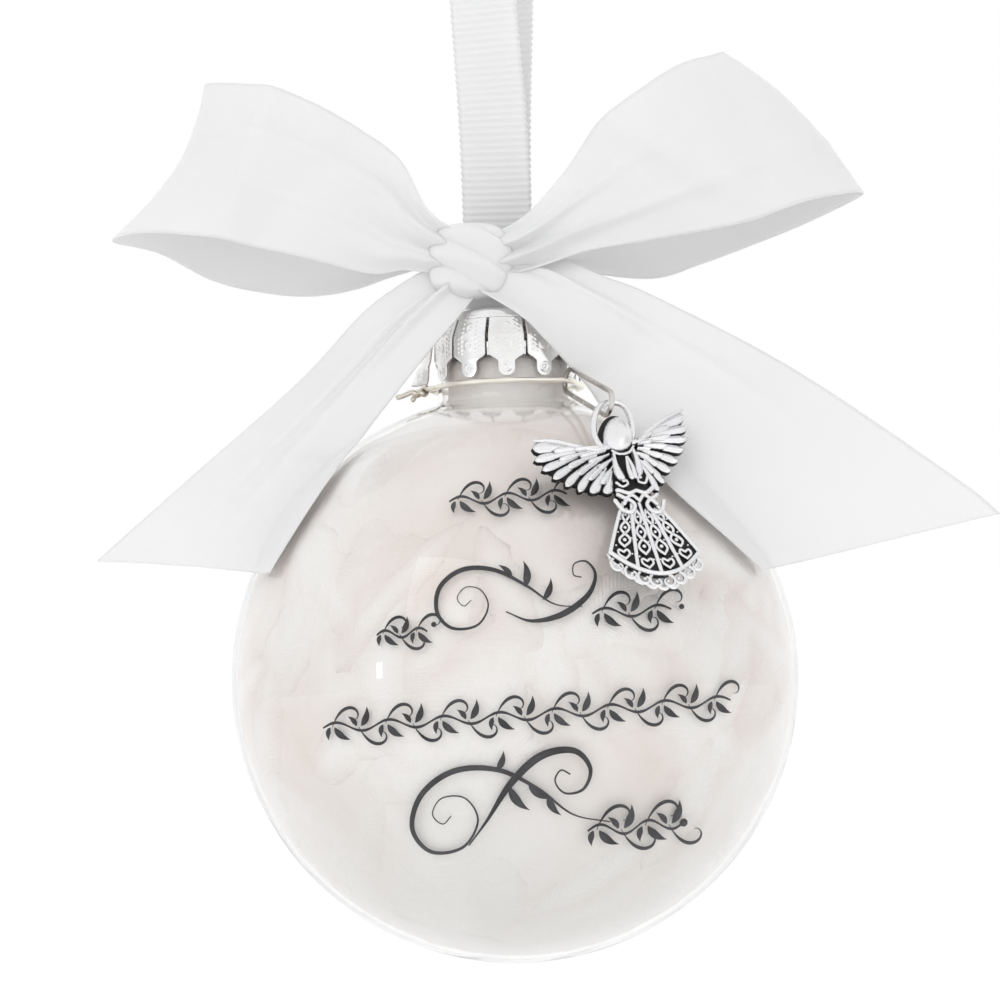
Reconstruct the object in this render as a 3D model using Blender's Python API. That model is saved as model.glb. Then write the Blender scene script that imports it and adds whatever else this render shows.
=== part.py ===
"""Glass ball ornament with a cap, a satin bow and an angel charm.

Metres, +Z up, front towards -Y. The origin is the hanging point: the inside of the hanging
ribbon's top bend, where a hook or a branch carries it. Everything else hangs below it.
"""
import math

import bmesh
import bpy
import numpy as np
from mathutils import Matrix, Vector

MM = 0.001
GAP = 0.35 * MM  # air left between two pieces that touch or slide on each other

# Glass ball
BALL_RADIUS = 40.0 * MM
GLASS_WALL = 0.8 * MM
NECK_RADIUS = 9.9 * MM
NECK_HEIGHT = 7.1 * MM  # straight part, above the fillet
NECK_FILLET = 1.6 * MM
BALL_SEGMENTS = 40
BALL_RINGS = 20

# Feathers inside the ball
FEATHER_COUNT = 10
FEATHER_WIDTH = 13.0 * MM
FEATHER_THICKNESS = 0.4 * MM
FEATHER_INSET = 1.2 * MM  # from the inside of the glass to the feather's middle
FEATHER_POLAR = (math.radians(42), math.radians(140))  # from the tip to the quill

# Neck wire and its twisted ends
WIRE_RADIUS = 0.4 * MM
WIRE_RISE = 1.2 * MM  # middle of the wire above the top of the fillet
PIGTAIL_AZIMUTH = math.radians(-84)  # azimuths start at the front and grow towards +X
PIGTAIL_REACH = 4.2 * MM
PIGTAIL_DROP = 1.1 * MM

# Cap
PETALS = 12
CAP_THICKNESS = 0.3 * MM
CAP_HEIGHT = 9.9 * MM
CAP_TOP_RADIUS = 8.9 * MM
CAP_EDGE_ROUND = 0.9 * MM
CAP_HOLE_RADIUS = 2.0 * MM
SLIT_WIDTH = 0.7 * MM
SLIT_START = 1.4 * MM  # below the cap's top
TAB_WIDTH = 2.3 * MM
TAB_LENGTH = 2.5 * MM
SHOULDER_SLOPE = 0.8 * MM
BENT_PETAL = 9  # counted from the front petal towards +X
PETAL_BEND = 2.1 * MM

# Hanging ribbon
RIBBON_WIDTH = 10.0 * MM
RIBBON_THICKNESS = 0.5 * MM
RIBBON_DROP = 88.0 * MM  # from the hanging point to the top bar of the clip's eye
RIBBON_OPENING = 16.5 * MM  # widest distance between the two strands
RIBBON_TURN = math.radians(-17)  # turn of the loop about +Z once it is clear of the bow
RIBBON_SIDE = -0.8 * MM  # the ribbon lies a little to the left in the eye

# Hanger clip
CLIP_WIRE_RADIUS = 0.4 * MM
EYE_HEIGHT = 8.0 * MM  # from the cap's top to the eye's top bar
EYE_SIDE_CLEARANCE = 0.4 * MM
WAIST_HALF_WIDTH = 1.1 * MM
WAIST_HEIGHT = 3.4 * MM
LEG_LENGTH = 14.5 * MM  # below the cap's top

# Satin bow
SATIN_WIDTH = 25.0 * MM
SATIN_THICKNESS = 0.5 * MM
KNOT_SIZE = (12.4 * MM, 5.2 * MM, 10.4 * MM)
KNOT_OFFSET = (-4.7 * MM, -1.1 * MM)  # sideways and up, from the eye's top bar
KNOT_BACK = -3.4 * MM  # Y of the knot's back, clear of the swinging ribbon
LEFT_REACH = 47.0 * MM
LEFT_RISE = math.radians(160.2)
RIGHT_REACH = 50.6 * MM
RIGHT_RISE = math.radians(22.5)
LEFT_TAIL_LENGTH = 60.0 * MM
LEFT_TAIL_FALL = math.radians(-134.3)
RIGHT_TAIL_LENGTH = 69.0 * MM
RIGHT_TAIL_FALL = math.radians(-36.9)
TIE_HEIGHT = 2.2 * MM
TIE_THICKNESS = 0.7 * MM

# Angel charm and the oval ring that it hangs on
CHARM_WIDTH = 24.0 * MM
CHARM_HEIGHT = 30.5 * MM
CHARM_THICKNESS = 1.4 * MM
CHARM_POLAR = math.radians(56)  # where the charm's plane comes nearest to the ball
CHARM_AZIMUTH = math.radians(26)
CHARM_SHIFT = (2.0 * MM, 0.6 * MM)  # sideways and up in its own plane
HEAD_RADIUS = 2.3 * MM
HEAD_FROM_TOP = 5.1 * MM
HALO_RADIUS = 3.5 * MM
HALO_WIDTH = 1.0 * MM
RING_WIRE_RADIUS = 0.35 * MM
RING_INNER_WIDTH = 2.6 * MM
RING_AZIMUTH = math.radians(46)
RING_PLAY = 0.3 * MM  # beyond the usual gap, where the ring passes round a wire

# Heights above the ball's centre that follow from the sizes above
FILLET_CENTRE_Z = math.sqrt((BALL_RADIUS + NECK_FILLET) ** 2 - (NECK_RADIUS + NECK_FILLET) ** 2)
NECK_TOP_Z = FILLET_CENTRE_Z + NECK_HEIGHT
WIRE_Z = FILLET_CENTRE_Z + WIRE_RISE
COLLAR_RADIUS = NECK_RADIUS + GAP + WIRE_RADIUS
RING_SEAT_RADIUS = NECK_RADIUS + 2 * GAP + 2 * RING_WIRE_RADIUS + RING_PLAY + WIRE_RADIUS
TAB_TIP_Z = WIRE_Z + WIRE_RADIUS + GAP
CAP_TOP_Z = TAB_TIP_Z + CAP_HEIGHT
EYE_TOP_Z = CAP_TOP_Z + EYE_HEIGHT

BALL_CENTRE = Vector((0.0, 0.0, -RIBBON_DROP - EYE_TOP_Z))
EYE_TOP = Vector((0.0, 0.0, -RIBBON_DROP))
KNOT_CENTRE = EYE_TOP + Vector((KNOT_OFFSET[0], KNOT_BACK - KNOT_SIZE[1] / 2, KNOT_OFFSET[1]))

# Edge lines of the bow. Each point is (share of the reach, share of the satin's width, Y in mm
# from the eye), measured from the knot's centre along the loop or tail and across it.
LEFT_LOOP_UPPER = (
    (0.17, 0.17, -6.6), (0.31, 0.42, -9), (0.54, 0.53, -11), (0.74, 0.56, -9), (0.94, 0.51, -3),
    (0.82, 0.54, 3.5), (0.57, 0.48, 5.5), (0.32, 0.29, 2.5), (0.19, 0.08, -3),
)
LEFT_LOOP_LOWER = (
    (0.17, -0.14, -7), (0.27, -0.26, -9), (0.49, -0.31, -12), (0.76, -0.37, -12),
    (0.96, -0.44, -8), (1.05, -0.52, -4), (0.92, -0.48, 1), (0.75, -0.52, 4), (0.59, -0.49, 5),
    (0.45, -0.43, 4), (0.32, -0.33, 1), (0.20, -0.20, -3),
)
RIGHT_LOOP_UPPER = (
    (0.18, 0.02, -6.6), (0.34, 0.24, -8), (0.48, 0.40, -10), (0.64, 0.48, -11), (0.77, 0.53, -8),
    (0.90, 0.53, -3), (0.77, 0.50, 3), (0.60, 0.39, 5), (0.41, 0.17, 2), (0.27, -0.04, -3.6),
)
RIGHT_LOOP_LOWER = (
    (0.18, -0.16, -7), (0.31, -0.23, -8.5), (0.48, -0.33, -10), (0.73, -0.46, -12),
    (0.93, -0.48, -9), (1.09, -0.54, -3), (0.93, -0.54, 2), (0.77, -0.52, 4), (0.61, -0.50, 4),
    (0.46, -0.47, 2), (0.27, -0.29, -3.6),
)
LEFT_TAIL_UPPER = (
    (0.16, 0.10, -5), (0.25, 0.19, -4.5), (0.49, 0.26, -1), (0.83, 0.36, 1), (1.12, 0.43, 2),
)
LEFT_TAIL_LOWER = (
    (0.14, -0.10, -9), (0.24, -0.15, -9.5), (0.51, -0.25, -12), (0.60, -0.30, -14),
    (0.85, -0.42, -16),
)
RIGHT_TAIL_UPPER = (
    (0.14, 0.10, -8.5), (0.24, 0.25, -8.5), (0.36, 0.42, -8), (0.67, 0.54, -8),
    (1.06, 0.55, -10), (1.17, 0.53, -10),
)
RIGHT_TAIL_LOWER = (
    (0.15, -0.03, -10.6), (0.22, -0.08, -10.4), (0.34, -0.19, -8.4), (0.40, -0.28, -12.4),
    (0.58, -0.45, -20.5), (0.84, -0.52, -16),
)
BOW_STATIONS = 22
BOW_COLUMNS = 4

# Right half of the charm's outline, as shares of its half width and half height
CHARM_OUTLINE = (
    (0.13, 0.61), (0.33, 0.60), (0.55, 0.69), (1.00, 0.88), (0.99, 0.72), (0.90, 0.52),
    (0.70, 0.36), (0.49, 0.24), (0.29, 0.17), (0.22, 0.10), (0.68, -0.56), (0.55, -0.80),
    (0.28, -0.96), (0.00, -1.00),
)


def clear_scene():
    """Remove every object that the scene starts with."""
    for item in list(bpy.data.objects):
        bpy.data.objects.remove(item, do_unlink=True)


def make_material(name, colour, roughness, metallic=0.0, transmission=0.0):
    """A Principled material with one colour."""
    material = bpy.data.materials.new(name)
    material.use_nodes = True
    shader = material.node_tree.nodes["Principled BSDF"]
    shader.inputs["Base Color"].default_value = (*colour, 1.0)
    shader.inputs["Roughness"].default_value = roughness
    shader.inputs["Metallic"].default_value = metallic
    shader.inputs["Transmission Weight"].default_value = transmission
    return material


def add_empty(name, place, parent=None):
    """An empty at a world place, which carries the pieces that move with it."""
    empty = bpy.data.objects.new(name, None)
    empty.empty_display_size = 5 * MM
    bpy.context.scene.collection.objects.link(empty)
    attach(empty, place, parent)
    return empty


def attach(item, place, parent):
    """Put an object at a world place under its parent, which is never turned."""
    parent_place = parent.matrix_world.translation if parent else Vector()
    item.parent = parent
    item.location = Vector(place) - parent_place
    bpy.context.view_layer.update()


def add_solid(name, verts, faces, material, parent, smooth_angle=math.radians(35)):
    """One closed mesh object from world points, its origin at its parent's."""
    origin = np.array(parent.matrix_world.translation)
    mesh = bpy.data.meshes.new(name)
    mesh.from_pydata((np.asarray(verts) - origin).tolist(), [], faces)
    shell = bmesh.new()
    shell.from_mesh(mesh)
    bmesh.ops.recalc_face_normals(shell, faces=shell.faces)
    shell.to_mesh(mesh)
    shell.free()
    mesh.shade_smooth()
    mesh.set_sharp_from_angle(angle=smooth_angle)
    mesh.materials.append(material)
    item = bpy.data.objects.new(name, mesh)
    bpy.context.scene.collection.objects.link(item)
    attach(item, origin, parent)
    return item


def add_wire(name, points, radius, material, parent, closed=False):
    """A round wire along world points."""
    origin = parent.matrix_world.translation
    curve = bpy.data.curves.new(name, "CURVE")
    curve.dimensions = "3D"
    curve.bevel_depth = radius
    curve.bevel_resolution = 2
    curve.use_fill_caps = not closed
    spline = curve.splines.new("POLY")
    spline.points.add(len(points) - 1)
    spline.use_cyclic_u = closed
    for spline_point, place in zip(spline.points, points):
        spline_point.co = (*(Vector(place) - origin), 1.0)
    curve.materials.append(material)
    item = bpy.data.objects.new(name, curve)
    bpy.context.scene.collection.objects.link(item)
    attach(item, origin, parent)
    return item


def smooth_line(points, count, closed=False):
    """Points at even steps of arc length on a Catmull-Rom curve through the given points."""
    points = np.asarray(points, float)
    if closed:
        padded = np.vstack([points[-1], points, points[:2]])
    else:
        padded = np.vstack([2 * points[0] - points[1], points, 2 * points[-1] - points[-2]])
    steps = np.linspace(0, 1, 12, endpoint=False)[:, None]
    runs = []
    for a, b, c, d in zip(padded, padded[1:], padded[2:], padded[3:]):
        runs.append(0.5 * (2 * b + (c - a) * steps + (2 * a - 5 * b + 4 * c - d) * steps ** 2
                           + (3 * b - a - 3 * c + d) * steps ** 3))
    dense = np.vstack(runs + [padded[-2:-1]])
    lengths = np.concatenate([[0], np.cumsum(np.linalg.norm(np.diff(dense, axis=0), axis=1))])
    wanted = np.linspace(0, lengths[-1], count + 1 if closed else count)
    line = np.stack([np.interp(wanted, lengths, dense[:, k]) for k in range(3)], axis=1)
    return line[:-1] if closed else line


def grid_solid(grid, thickness):
    """Points and faces of a sheet: a grid of points given its thickness along its normals."""
    rows, columns = grid.shape[:2]
    along = np.gradient(grid, axis=0)
    across = np.gradient(grid, axis=1)
    normal = np.cross(along, across)
    normal /= np.linalg.norm(normal, axis=2, keepdims=True)
    verts = np.concatenate([(grid + normal * thickness / 2).reshape(-1, 3),
                            (grid - normal * thickness / 2).reshape(-1, 3)])
    under = rows * columns
    faces = []
    for i in range(rows - 1):
        for j in range(columns - 1):
            a, b = i * columns + j, (i + 1) * columns + j
            faces.append((a, b, b + 1, a + 1))
            faces.append((a + under, a + 1 + under, b + 1 + under, b + under))
    rim = [(0, j) for j in range(columns - 1)]
    rim += [(i, columns - 1) for i in range(rows - 1)]
    rim += [(rows - 1, j) for j in range(columns - 1, 0, -1)]
    rim += [(i, 0) for i in range(rows - 1, 0, -1)]
    ids = [i * columns + j for i, j in rim]
    for a, b in zip(ids, ids[1:] + ids[:1]):
        faces.append((a, b, b + under, a + under))
    return verts, faces


def turned_solid(profile, segments, centre):
    """Points and faces of a turned body, from an outline whose ends lie on the +Z axis."""
    verts = []
    rings = []
    for radius, height in profile:
        count = 1 if radius < 1e-9 else segments
        rings.append([len(verts) + k for k in range(count)])
        for k in range(count):
            angle = 2 * math.pi * k / segments
            verts.append(centre + Vector((radius * math.cos(angle), radius * math.sin(angle), height)))
    faces = []
    for lower, upper in zip(rings, rings[1:]):
        for k in range(segments):
            corners = [lower[k % len(lower)], lower[(k + 1) % len(lower)],
                       upper[(k + 1) % len(upper)], upper[k % len(upper)]]
            faces.append(list(dict.fromkeys(corners)))
    return verts, faces


def around(azimuth, radius, height):
    """World point at an azimuth (from the front towards +X), radius and height on the ball."""
    return BALL_CENTRE + Vector((radius * math.sin(azimuth), -radius * math.cos(azimuth), height))


def glass_profile(inset):
    """Outline of the ball, fillet and neck, moved inwards by the inset, from the bottom up."""
    sphere = BALL_RADIUS - inset
    fillet = NECK_FILLET + inset
    fillet_x = NECK_RADIUS + NECK_FILLET
    last_polar = math.atan2(fillet_x, FILLET_CENTRE_Z)
    outline = []
    for polar in np.linspace(math.pi, last_polar, BALL_RINGS):
        outline.append((sphere * math.sin(polar), sphere * math.cos(polar)))
    start = math.atan2(FILLET_CENTRE_Z, fillet_x) + math.pi
    for angle in np.linspace(start, math.pi, 5)[1:]:
        outline.append((fillet_x + fillet * math.cos(angle), FILLET_CENTRE_Z + fillet * math.sin(angle)))
    outline.append((NECK_RADIUS - inset, NECK_TOP_Z))
    return outline


def build_glass_ball(parent):
    """The ball's outer wall up to the neck's rim, then its inner wall back down."""
    glass = make_material("clear_glass", (0.92, 0.93, 0.94), 0.03, transmission=1.0)
    profile = glass_profile(0.0) + glass_profile(GLASS_WALL)[::-1]
    verts, faces = turned_solid(profile, BALL_SEGMENTS, BALL_CENTRE)
    add_solid("glass_ball", verts, faces, glass, parent)


def build_feathers(parent):
    """Leaf shapes that lie against the inside of the glass, evenly round it."""
    down = make_material("white_feather", (0.93, 0.91, 0.89), 0.9)
    radius = BALL_RADIUS - GLASS_WALL - FEATHER_INSET
    for number in range(FEATHER_COUNT):
        start = 2 * math.pi * (number + 0.25) / FEATHER_COUNT
        sweep = math.radians(14 if number % 2 else 9)
        share = np.linspace(0, 1, 10)[:, None]
        side = np.linspace(-1, 1, 5)[None, :]
        half_width = FEATHER_WIDTH / 2 * (0.12 + 0.88 * np.sin(math.pi * share ** 0.8) ** 0.7)
        polar = FEATHER_POLAR[0] + (FEATHER_POLAR[1] - FEATHER_POLAR[0]) * share + 0 * side
        azimuth = start + sweep * share + side * half_width / (radius * np.sin(polar))
        grid = radius * np.stack([np.sin(polar) * np.sin(azimuth), -np.sin(polar) * np.cos(azimuth),
                                  np.cos(polar)], axis=2) + np.array(BALL_CENTRE)
        verts, faces = grid_solid(grid, FEATHER_THICKNESS)
        add_solid(f"feather_{number + 1:02d}", verts, faces, down, parent)


def cap_rows():
    """(radius, height, kind) of the cap's middle surface, from its hole down to the tab tips."""
    hug = NECK_RADIUS + GAP + CAP_THICKNESS / 2
    top = CAP_TOP_Z - CAP_THICKNESS / 2
    shoulder = TAB_TIP_Z + TAB_LENGTH
    neck_level = max(NECK_TOP_Z, shoulder) + CAP_THICKNESS + GAP
    flat = CAP_TOP_RADIUS - CAP_EDGE_ROUND
    slant = CAP_EDGE_ROUND * (1 - math.sqrt(0.5))
    return (
        (CAP_HOLE_RADIUS, top, "ring"),
        (flat, top, "ring"),
        (CAP_TOP_RADIUS - slant, top - slant, "ring"),
        (CAP_TOP_RADIUS + 0.2 * (hug - CAP_TOP_RADIUS), top - SLIT_START, "ring"),
        (hug, neck_level, "petal"),
        (hug + 0.1 * MM, shoulder, "petal"),
        (hug + 0.05 * MM, TAB_TIP_Z + TAB_LENGTH / 2, "tab"),
        (hug, TAB_TIP_Z, "tab"),
    )


def build_cap(parent):
    """Twelve petals hang from the cap's top, cut apart by slits, each ending in a round tab."""
    silver = make_material("cap_silver", (0.80, 0.80, 0.81), 0.25, metallic=1.0)
    rows = cap_rows()
    half = math.pi / PETALS
    slit = SLIT_WIDTH / 2 / rows[4][0]
    tab = TAB_WIDTH / 2 / rows[4][0]
    verts = []
    index = {}

    def vertex(row, petal, column):
        """Index of the point in a row at one of a petal's columns, made when first asked for."""
        key = (row, (petal + 1) % PETALS, 0) if column == 6 else (row, petal, column)
        if key in index:
            return index[key]
        radius, height, kind = rows[row]
        angle = (-half, -half + slit, -tab, 0.0, tab, half - slit)[key[2]]
        if row == len(rows) - 1:
            angle *= 0.55
            height += 0.5 * MM if key[2] != 3 else 0.0
        if row == 5 and key[2] in (1, 5):
            height += SHOULDER_SLOPE
        if key[1] == BENT_PETAL and kind != "ring":
            radius += PETAL_BEND * (rows[3][1] - height) / (rows[3][1] - TAB_TIP_Z)
        azimuth = 2 * half * key[1] + angle
        index[key] = len(verts)
        verts.append(around(azimuth, radius, height))
        return index[key]

    faces = []
    for petal in range(PETALS):
        for row in range(len(rows) - 1):
            kind = rows[row + 1][2]
            columns = {"ring": range(6), "petal": range(1, 5), "tab": range(2, 4)}[kind]
            for column in columns:
                faces.append((vertex(row, petal, column), vertex(row + 1, petal, column),
                              vertex(row + 1, petal, column + 1), vertex(row, petal, column + 1)))
    cap = add_solid("cap", verts, faces, silver, parent)
    wall = cap.modifiers.new("wall", "SOLIDIFY")
    wall.thickness = CAP_THICKNESS
    wall.offset = 0.0
    wall.use_even_offset = True


def build_hanger_clip(parent):
    """One wire: a leg in the neck, the waist, the wide eye with its top bar, and back down."""
    steel = make_material("clip_steel", (0.62, 0.62, 0.63), 0.3, metallic=1.0)
    leg_x = NECK_RADIUS - GLASS_WALL - GAP - CLIP_WIRE_RADIUS - 0.5 * MM
    side_x = RIBBON_WIDTH / 2 + abs(RIBBON_SIDE) + EYE_SIDE_CLEARANCE + CLIP_WIRE_RADIUS
    corner = 0.9 * MM
    waist_top = CAP_TOP_Z + WAIST_HEIGHT
    half = [
        (leg_x - 0.3 * MM, CAP_TOP_Z - LEG_LENGTH),
        (leg_x, CAP_TOP_Z - 0.7 * LEG_LENGTH),
        (leg_x - 0.6 * MM, CAP_TOP_Z - 0.45 * LEG_LENGTH),
        (WAIST_HALF_WIDTH + 0.9 * MM, CAP_TOP_Z - 0.17 * LEG_LENGTH),
        (WAIST_HALF_WIDTH, CAP_TOP_Z),
        (WAIST_HALF_WIDTH, waist_top - 0.8 * MM),
        (WAIST_HALF_WIDTH + 0.7 * MM, waist_top),
        (side_x - 0.8 * MM, EYE_TOP_Z - 2.6 * MM),
        (side_x, EYE_TOP_Z - 1.6 * MM),
    ]
    for angle in (0.0, 30.0, 60.0, 90.0):
        turn = math.radians(angle)
        half.append((side_x - corner + corner * math.cos(turn), EYE_TOP_Z - corner + corner * math.sin(turn)))
    right = [BALL_CENTRE + Vector((x, 0, z)) for x, z in half]
    left = [BALL_CENTRE + Vector((-x, 0, z)) for x, z in half]
    add_wire("hanger_clip", right + left[::-1], CLIP_WIRE_RADIUS, steel, parent)


def build_neck_wire(parent):
    """A collar round the neck, bowed out where the ring hangs, its two ends side by side."""
    wire = make_material("neck_wire_silver", (0.83, 0.79, 0.72), 0.3, metallic=1.0)
    apart = 1.3 * WIRE_RADIUS + GAP / 2
    step = apart / COLLAR_RADIUS
    azimuths = np.linspace(PIGTAIL_AZIMUTH + step + 0.1, PIGTAIL_AZIMUTH + 2 * math.pi - step - 0.1, 44)
    path = []
    for azimuth in azimuths:
        seat = math.exp(-((azimuth - RING_AZIMUTH) / 0.2) ** 2)
        path.append(around(azimuth, COLLAR_RADIUS + (RING_SEAT_RADIUS - COLLAR_RADIUS) * seat, WIRE_Z))
    for first, side in ((True, 1), (False, -1)):
        end = []
        for share in (0.25, 0.6, 1.0):
            reach = COLLAR_RADIUS + PIGTAIL_REACH * share
            azimuth = PIGTAIL_AZIMUTH + side * apart / reach
            end.append(around(azimuth, reach, WIRE_Z - PIGTAIL_DROP * share))
        path = end[::-1] + path if first else path + end
    add_wire("neck_wire", path, WIRE_RADIUS, wire, parent)


def charm_frame():
    """Matrix of the charm's own axes: X across, Y towards the ball, Z up to the halo."""
    out = Vector((math.sin(CHARM_POLAR) * math.sin(CHARM_AZIMUTH),
                  -math.sin(CHARM_POLAR) * math.cos(CHARM_AZIMUTH), math.cos(CHARM_POLAR)))
    right = Vector((math.cos(CHARM_AZIMUTH), math.sin(CHARM_AZIMUTH), 0))
    up = out.cross(right)
    lift = BALL_RADIUS + 2 * GAP + SATIN_THICKNESS + GAP + CHARM_THICKNESS / 2
    middle = BALL_CENTRE + out * lift + right * CHARM_SHIFT[0] + up * CHARM_SHIFT[1]
    frame = Matrix.Identity(4)
    for column, axis in enumerate((right, -out, up, middle)):
        frame.col[column][:3] = axis
    return frame


def ring_ends():
    """World points at the neck wire and at the halo that the oval ring links."""
    at_wire = around(RING_AZIMUTH, RING_SEAT_RADIUS, WIRE_Z)
    at_halo = charm_frame() @ Vector((0, 0, CHARM_HEIGHT / 2 - HALO_WIDTH / 2))
    return at_wire, at_halo


def build_jump_ring(parent):
    """A long oval: two straight sides with a half circle round each thing that it links."""
    wire = make_material("ring_silver", (0.80, 0.79, 0.77), 0.3, metallic=1.0)
    at_wire, at_halo = ring_ends()
    along = (at_halo - at_wire).normalized()
    out = -Vector(charm_frame().col[1][:3])
    up = (out - along * out.dot(along)).normalized()
    bend = RING_INNER_WIDTH / 2 + RING_WIRE_RADIUS
    slack = GAP + RING_PLAY + RING_WIRE_RADIUS - bend
    near = at_wire - along * (slack + WIRE_RADIUS)
    far = at_halo + along * (slack + HALO_WIDTH / 2)
    points = []
    for centre, start in ((far, -90), (near, 90)):
        for step in range(9):
            angle = math.radians(start + 180 * step / 8)
            points.append(centre + along * bend * math.cos(angle) + up * bend * math.sin(angle))
    add_wire("jump_ring", points, RING_WIRE_RADIUS, wire, parent, closed=True)


def union_with(item, other):
    """Join a hidden shape to an object with a Boolean."""
    other.hide_render = True
    other.display_type = "WIRE"
    union = item.modifiers.new(other.name, "BOOLEAN")
    union.operation = "UNION"
    union.object = other


def build_angel_charm(parent):
    """Wings, gown, head and halo, cast as one flat piece."""
    silver = make_material("charm_silver", (0.55, 0.55, 0.55), 0.35, metallic=1.0)
    frame = charm_frame()
    right = [(x * CHARM_WIDTH / 2, z * CHARM_HEIGHT / 2) for x, z in CHARM_OUTLINE]
    outline = right + [(-x, z) for x, z in right[-2::-1]]
    half = CHARM_THICKNESS / 2
    count = len(outline)
    local = [(x, y, z) for y in (-half, half) for x, z in outline]
    faces = [tuple(range(count)), tuple(range(2 * count - 1, count - 1, -1))]
    for a in range(count):
        b = (a + 1) % count
        faces.append((a, a + count, b + count, b))
    charm = add_solid("angel_charm", [frame @ Vector(point) for point in local], faces, silver, parent)

    head_z = CHARM_HEIGHT / 2 - HEAD_FROM_TOP
    halo_z = CHARM_HEIGHT / 2 - HALO_RADIUS
    halo_half = 0.8 * half
    ring_profile = [(HALO_RADIUS - HALO_WIDTH, -halo_half), (HALO_RADIUS, -halo_half),
                    (HALO_RADIUS, halo_half), (HALO_RADIUS - HALO_WIDTH, halo_half)]
    union_with(charm, add_spun("halo_shape", ring_profile, halo_z, frame, 24, silver, parent, True))
    head_profile = [(0.0, -half - 0.7 * MM), (0.6 * HEAD_RADIUS, -half - 0.5 * MM),
                    (HEAD_RADIUS, -0.4 * half), (HEAD_RADIUS, half - 0.1 * MM), (0.0, half - 0.1 * MM)]
    union_with(charm, add_spun("head_shape", head_profile, head_z, frame, 20, silver, parent, False))


def add_spun(name, profile, height, frame, segments, material, parent, closed):
    """A shape turned about the charm's own Y axis, at a height on the charm."""
    verts = []
    rings = []
    for radius, y in profile:
        count = 1 if radius < 1e-9 else segments
        rings.append([len(verts) + k for k in range(count)])
        for k in range(count):
            angle = 2 * math.pi * (k + 0.5) / segments
            point = Vector((radius * math.cos(angle), y, height + radius * math.sin(angle)))
            verts.append(frame @ point)
    faces = []
    for lower, upper in zip(rings, rings[1:] + (rings[:1] if closed else [])):
        for k in range(segments):
            corners = [lower[k % len(lower)], lower[(k + 1) % len(lower)],
                       upper[(k + 1) % len(upper)], upper[k % len(upper)]]
            faces.append(list(dict.fromkeys(corners)))
    return add_solid(name, verts, faces, material, parent)


def ribbon_loop_line():
    """Middle line of the hanging loop: round the eye's bar, up, over the hanging point, down."""
    bar_bend = CLIP_WIRE_RADIUS + GAP + RIBBON_THICKNESS / 2
    top_bend = RIBBON_OPENING / 2
    line = []
    for angle in np.linspace(math.pi, 2 * math.pi, 7):
        line.append((bar_bend * math.cos(angle), -RIBBON_DROP + bar_bend * math.sin(angle)))
    rise = RIBBON_DROP - top_bend + RIBBON_THICKNESS / 2
    strand = []
    for share in np.linspace(0, 1, 13)[1:-1]:
        blend = share * share * (3 - 2 * share)
        strand.append((bar_bend + (top_bend - bar_bend) * blend, -RIBBON_DROP + rise * share))
    line += strand
    for angle in np.linspace(0, math.pi, 13):
        line.append((top_bend * math.cos(angle), rise - RIBBON_DROP + top_bend * math.sin(angle)))
    line += [(-y, z) for y, z in strand[::-1]]
    return line


def build_hanging_ribbon(parent):
    """A closed band of ribbed ribbon, turned a little about +Z above the bow."""
    ribbed = make_material("ribbed_ribbon", (0.90, 0.90, 0.91), 0.75)
    line = np.array(ribbon_loop_line())
    side = np.roll(line, -1, axis=0) - np.roll(line, 1, axis=0)
    side /= np.linalg.norm(side, axis=1, keepdims=True)
    out = np.stack([side[:, 1], -side[:, 0]], axis=1)
    verts = []
    for offset in (-0.5, 0.5):
        for x in (-RIBBON_WIDTH / 2, RIBBON_WIDTH / 2):
            for y, z in line + out * offset * RIBBON_THICKNESS:
                share = min(max((z + RIBBON_DROP - 6 * MM) / (30 * MM), 0.0), 1.0)
                turn = RIBBON_TURN * share * share * (3 - 2 * share)
                across = Vector((x, y, 0))
                across.rotate(Matrix.Rotation(turn, 3, "Z"))
                verts.append((across.x + RIBBON_SIDE, across.y, z))
    count = len(line)
    faces = []
    for a in range(count):
        b = (a + 1) % count
        for p, q in ((0, 1), (1, 3), (3, 2), (2, 0)):
            faces.append((a + p * count, b + p * count, b + q * count, a + q * count))
    add_solid("hanging_ribbon", verts, faces, ribbed, parent)


def bow_edge(points, reach, direction, count):
    """World points of one edge of a stretch of the bow."""
    along = Vector((math.cos(direction), 0, math.sin(direction)))
    across = Vector((-along.z, 0, along.x))
    if across.z < 0:
        across = -across
    start = Vector((KNOT_CENTRE.x, 0, KNOT_CENTRE.z))
    places = []
    for share, side, y in points:
        place = start + along * share * reach + across * side * SATIN_WIDTH
        places.append((place.x, y * MM, place.z))
    return smooth_line(places, count)


def clear_of_ball(grid):
    """Move points of a tail forwards until they lie in front of the glass."""
    centre = np.array(BALL_CENTRE)
    reach = BALL_RADIUS + 2 * GAP + SATIN_THICKNESS / 2
    flat = (grid[..., 0] - centre[0]) ** 2 + (grid[..., 2] - centre[2]) ** 2
    front = -np.sqrt(np.maximum(reach ** 2 - flat, 0.0))
    grid[..., 1] = np.where(flat < reach ** 2, np.minimum(grid[..., 1], front), grid[..., 1])
    return grid


def build_bow_stretch(name, upper, lower, reach, direction, material, parent, over_ball=False):
    """A satin strip between two edge lines."""
    first = bow_edge(upper, reach, direction, BOW_STATIONS)
    last = bow_edge(lower, reach, direction, BOW_STATIONS)
    side = np.linspace(0, 1, BOW_COLUMNS)[None, :, None]
    grid = first[:, None, :] * (1 - side) + last[:, None, :] * side
    if over_ball:
        grid = clear_of_ball(grid)
    verts, faces = grid_solid(grid, SATIN_THICKNESS)
    add_solid(name, verts, faces, material, parent)


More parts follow.
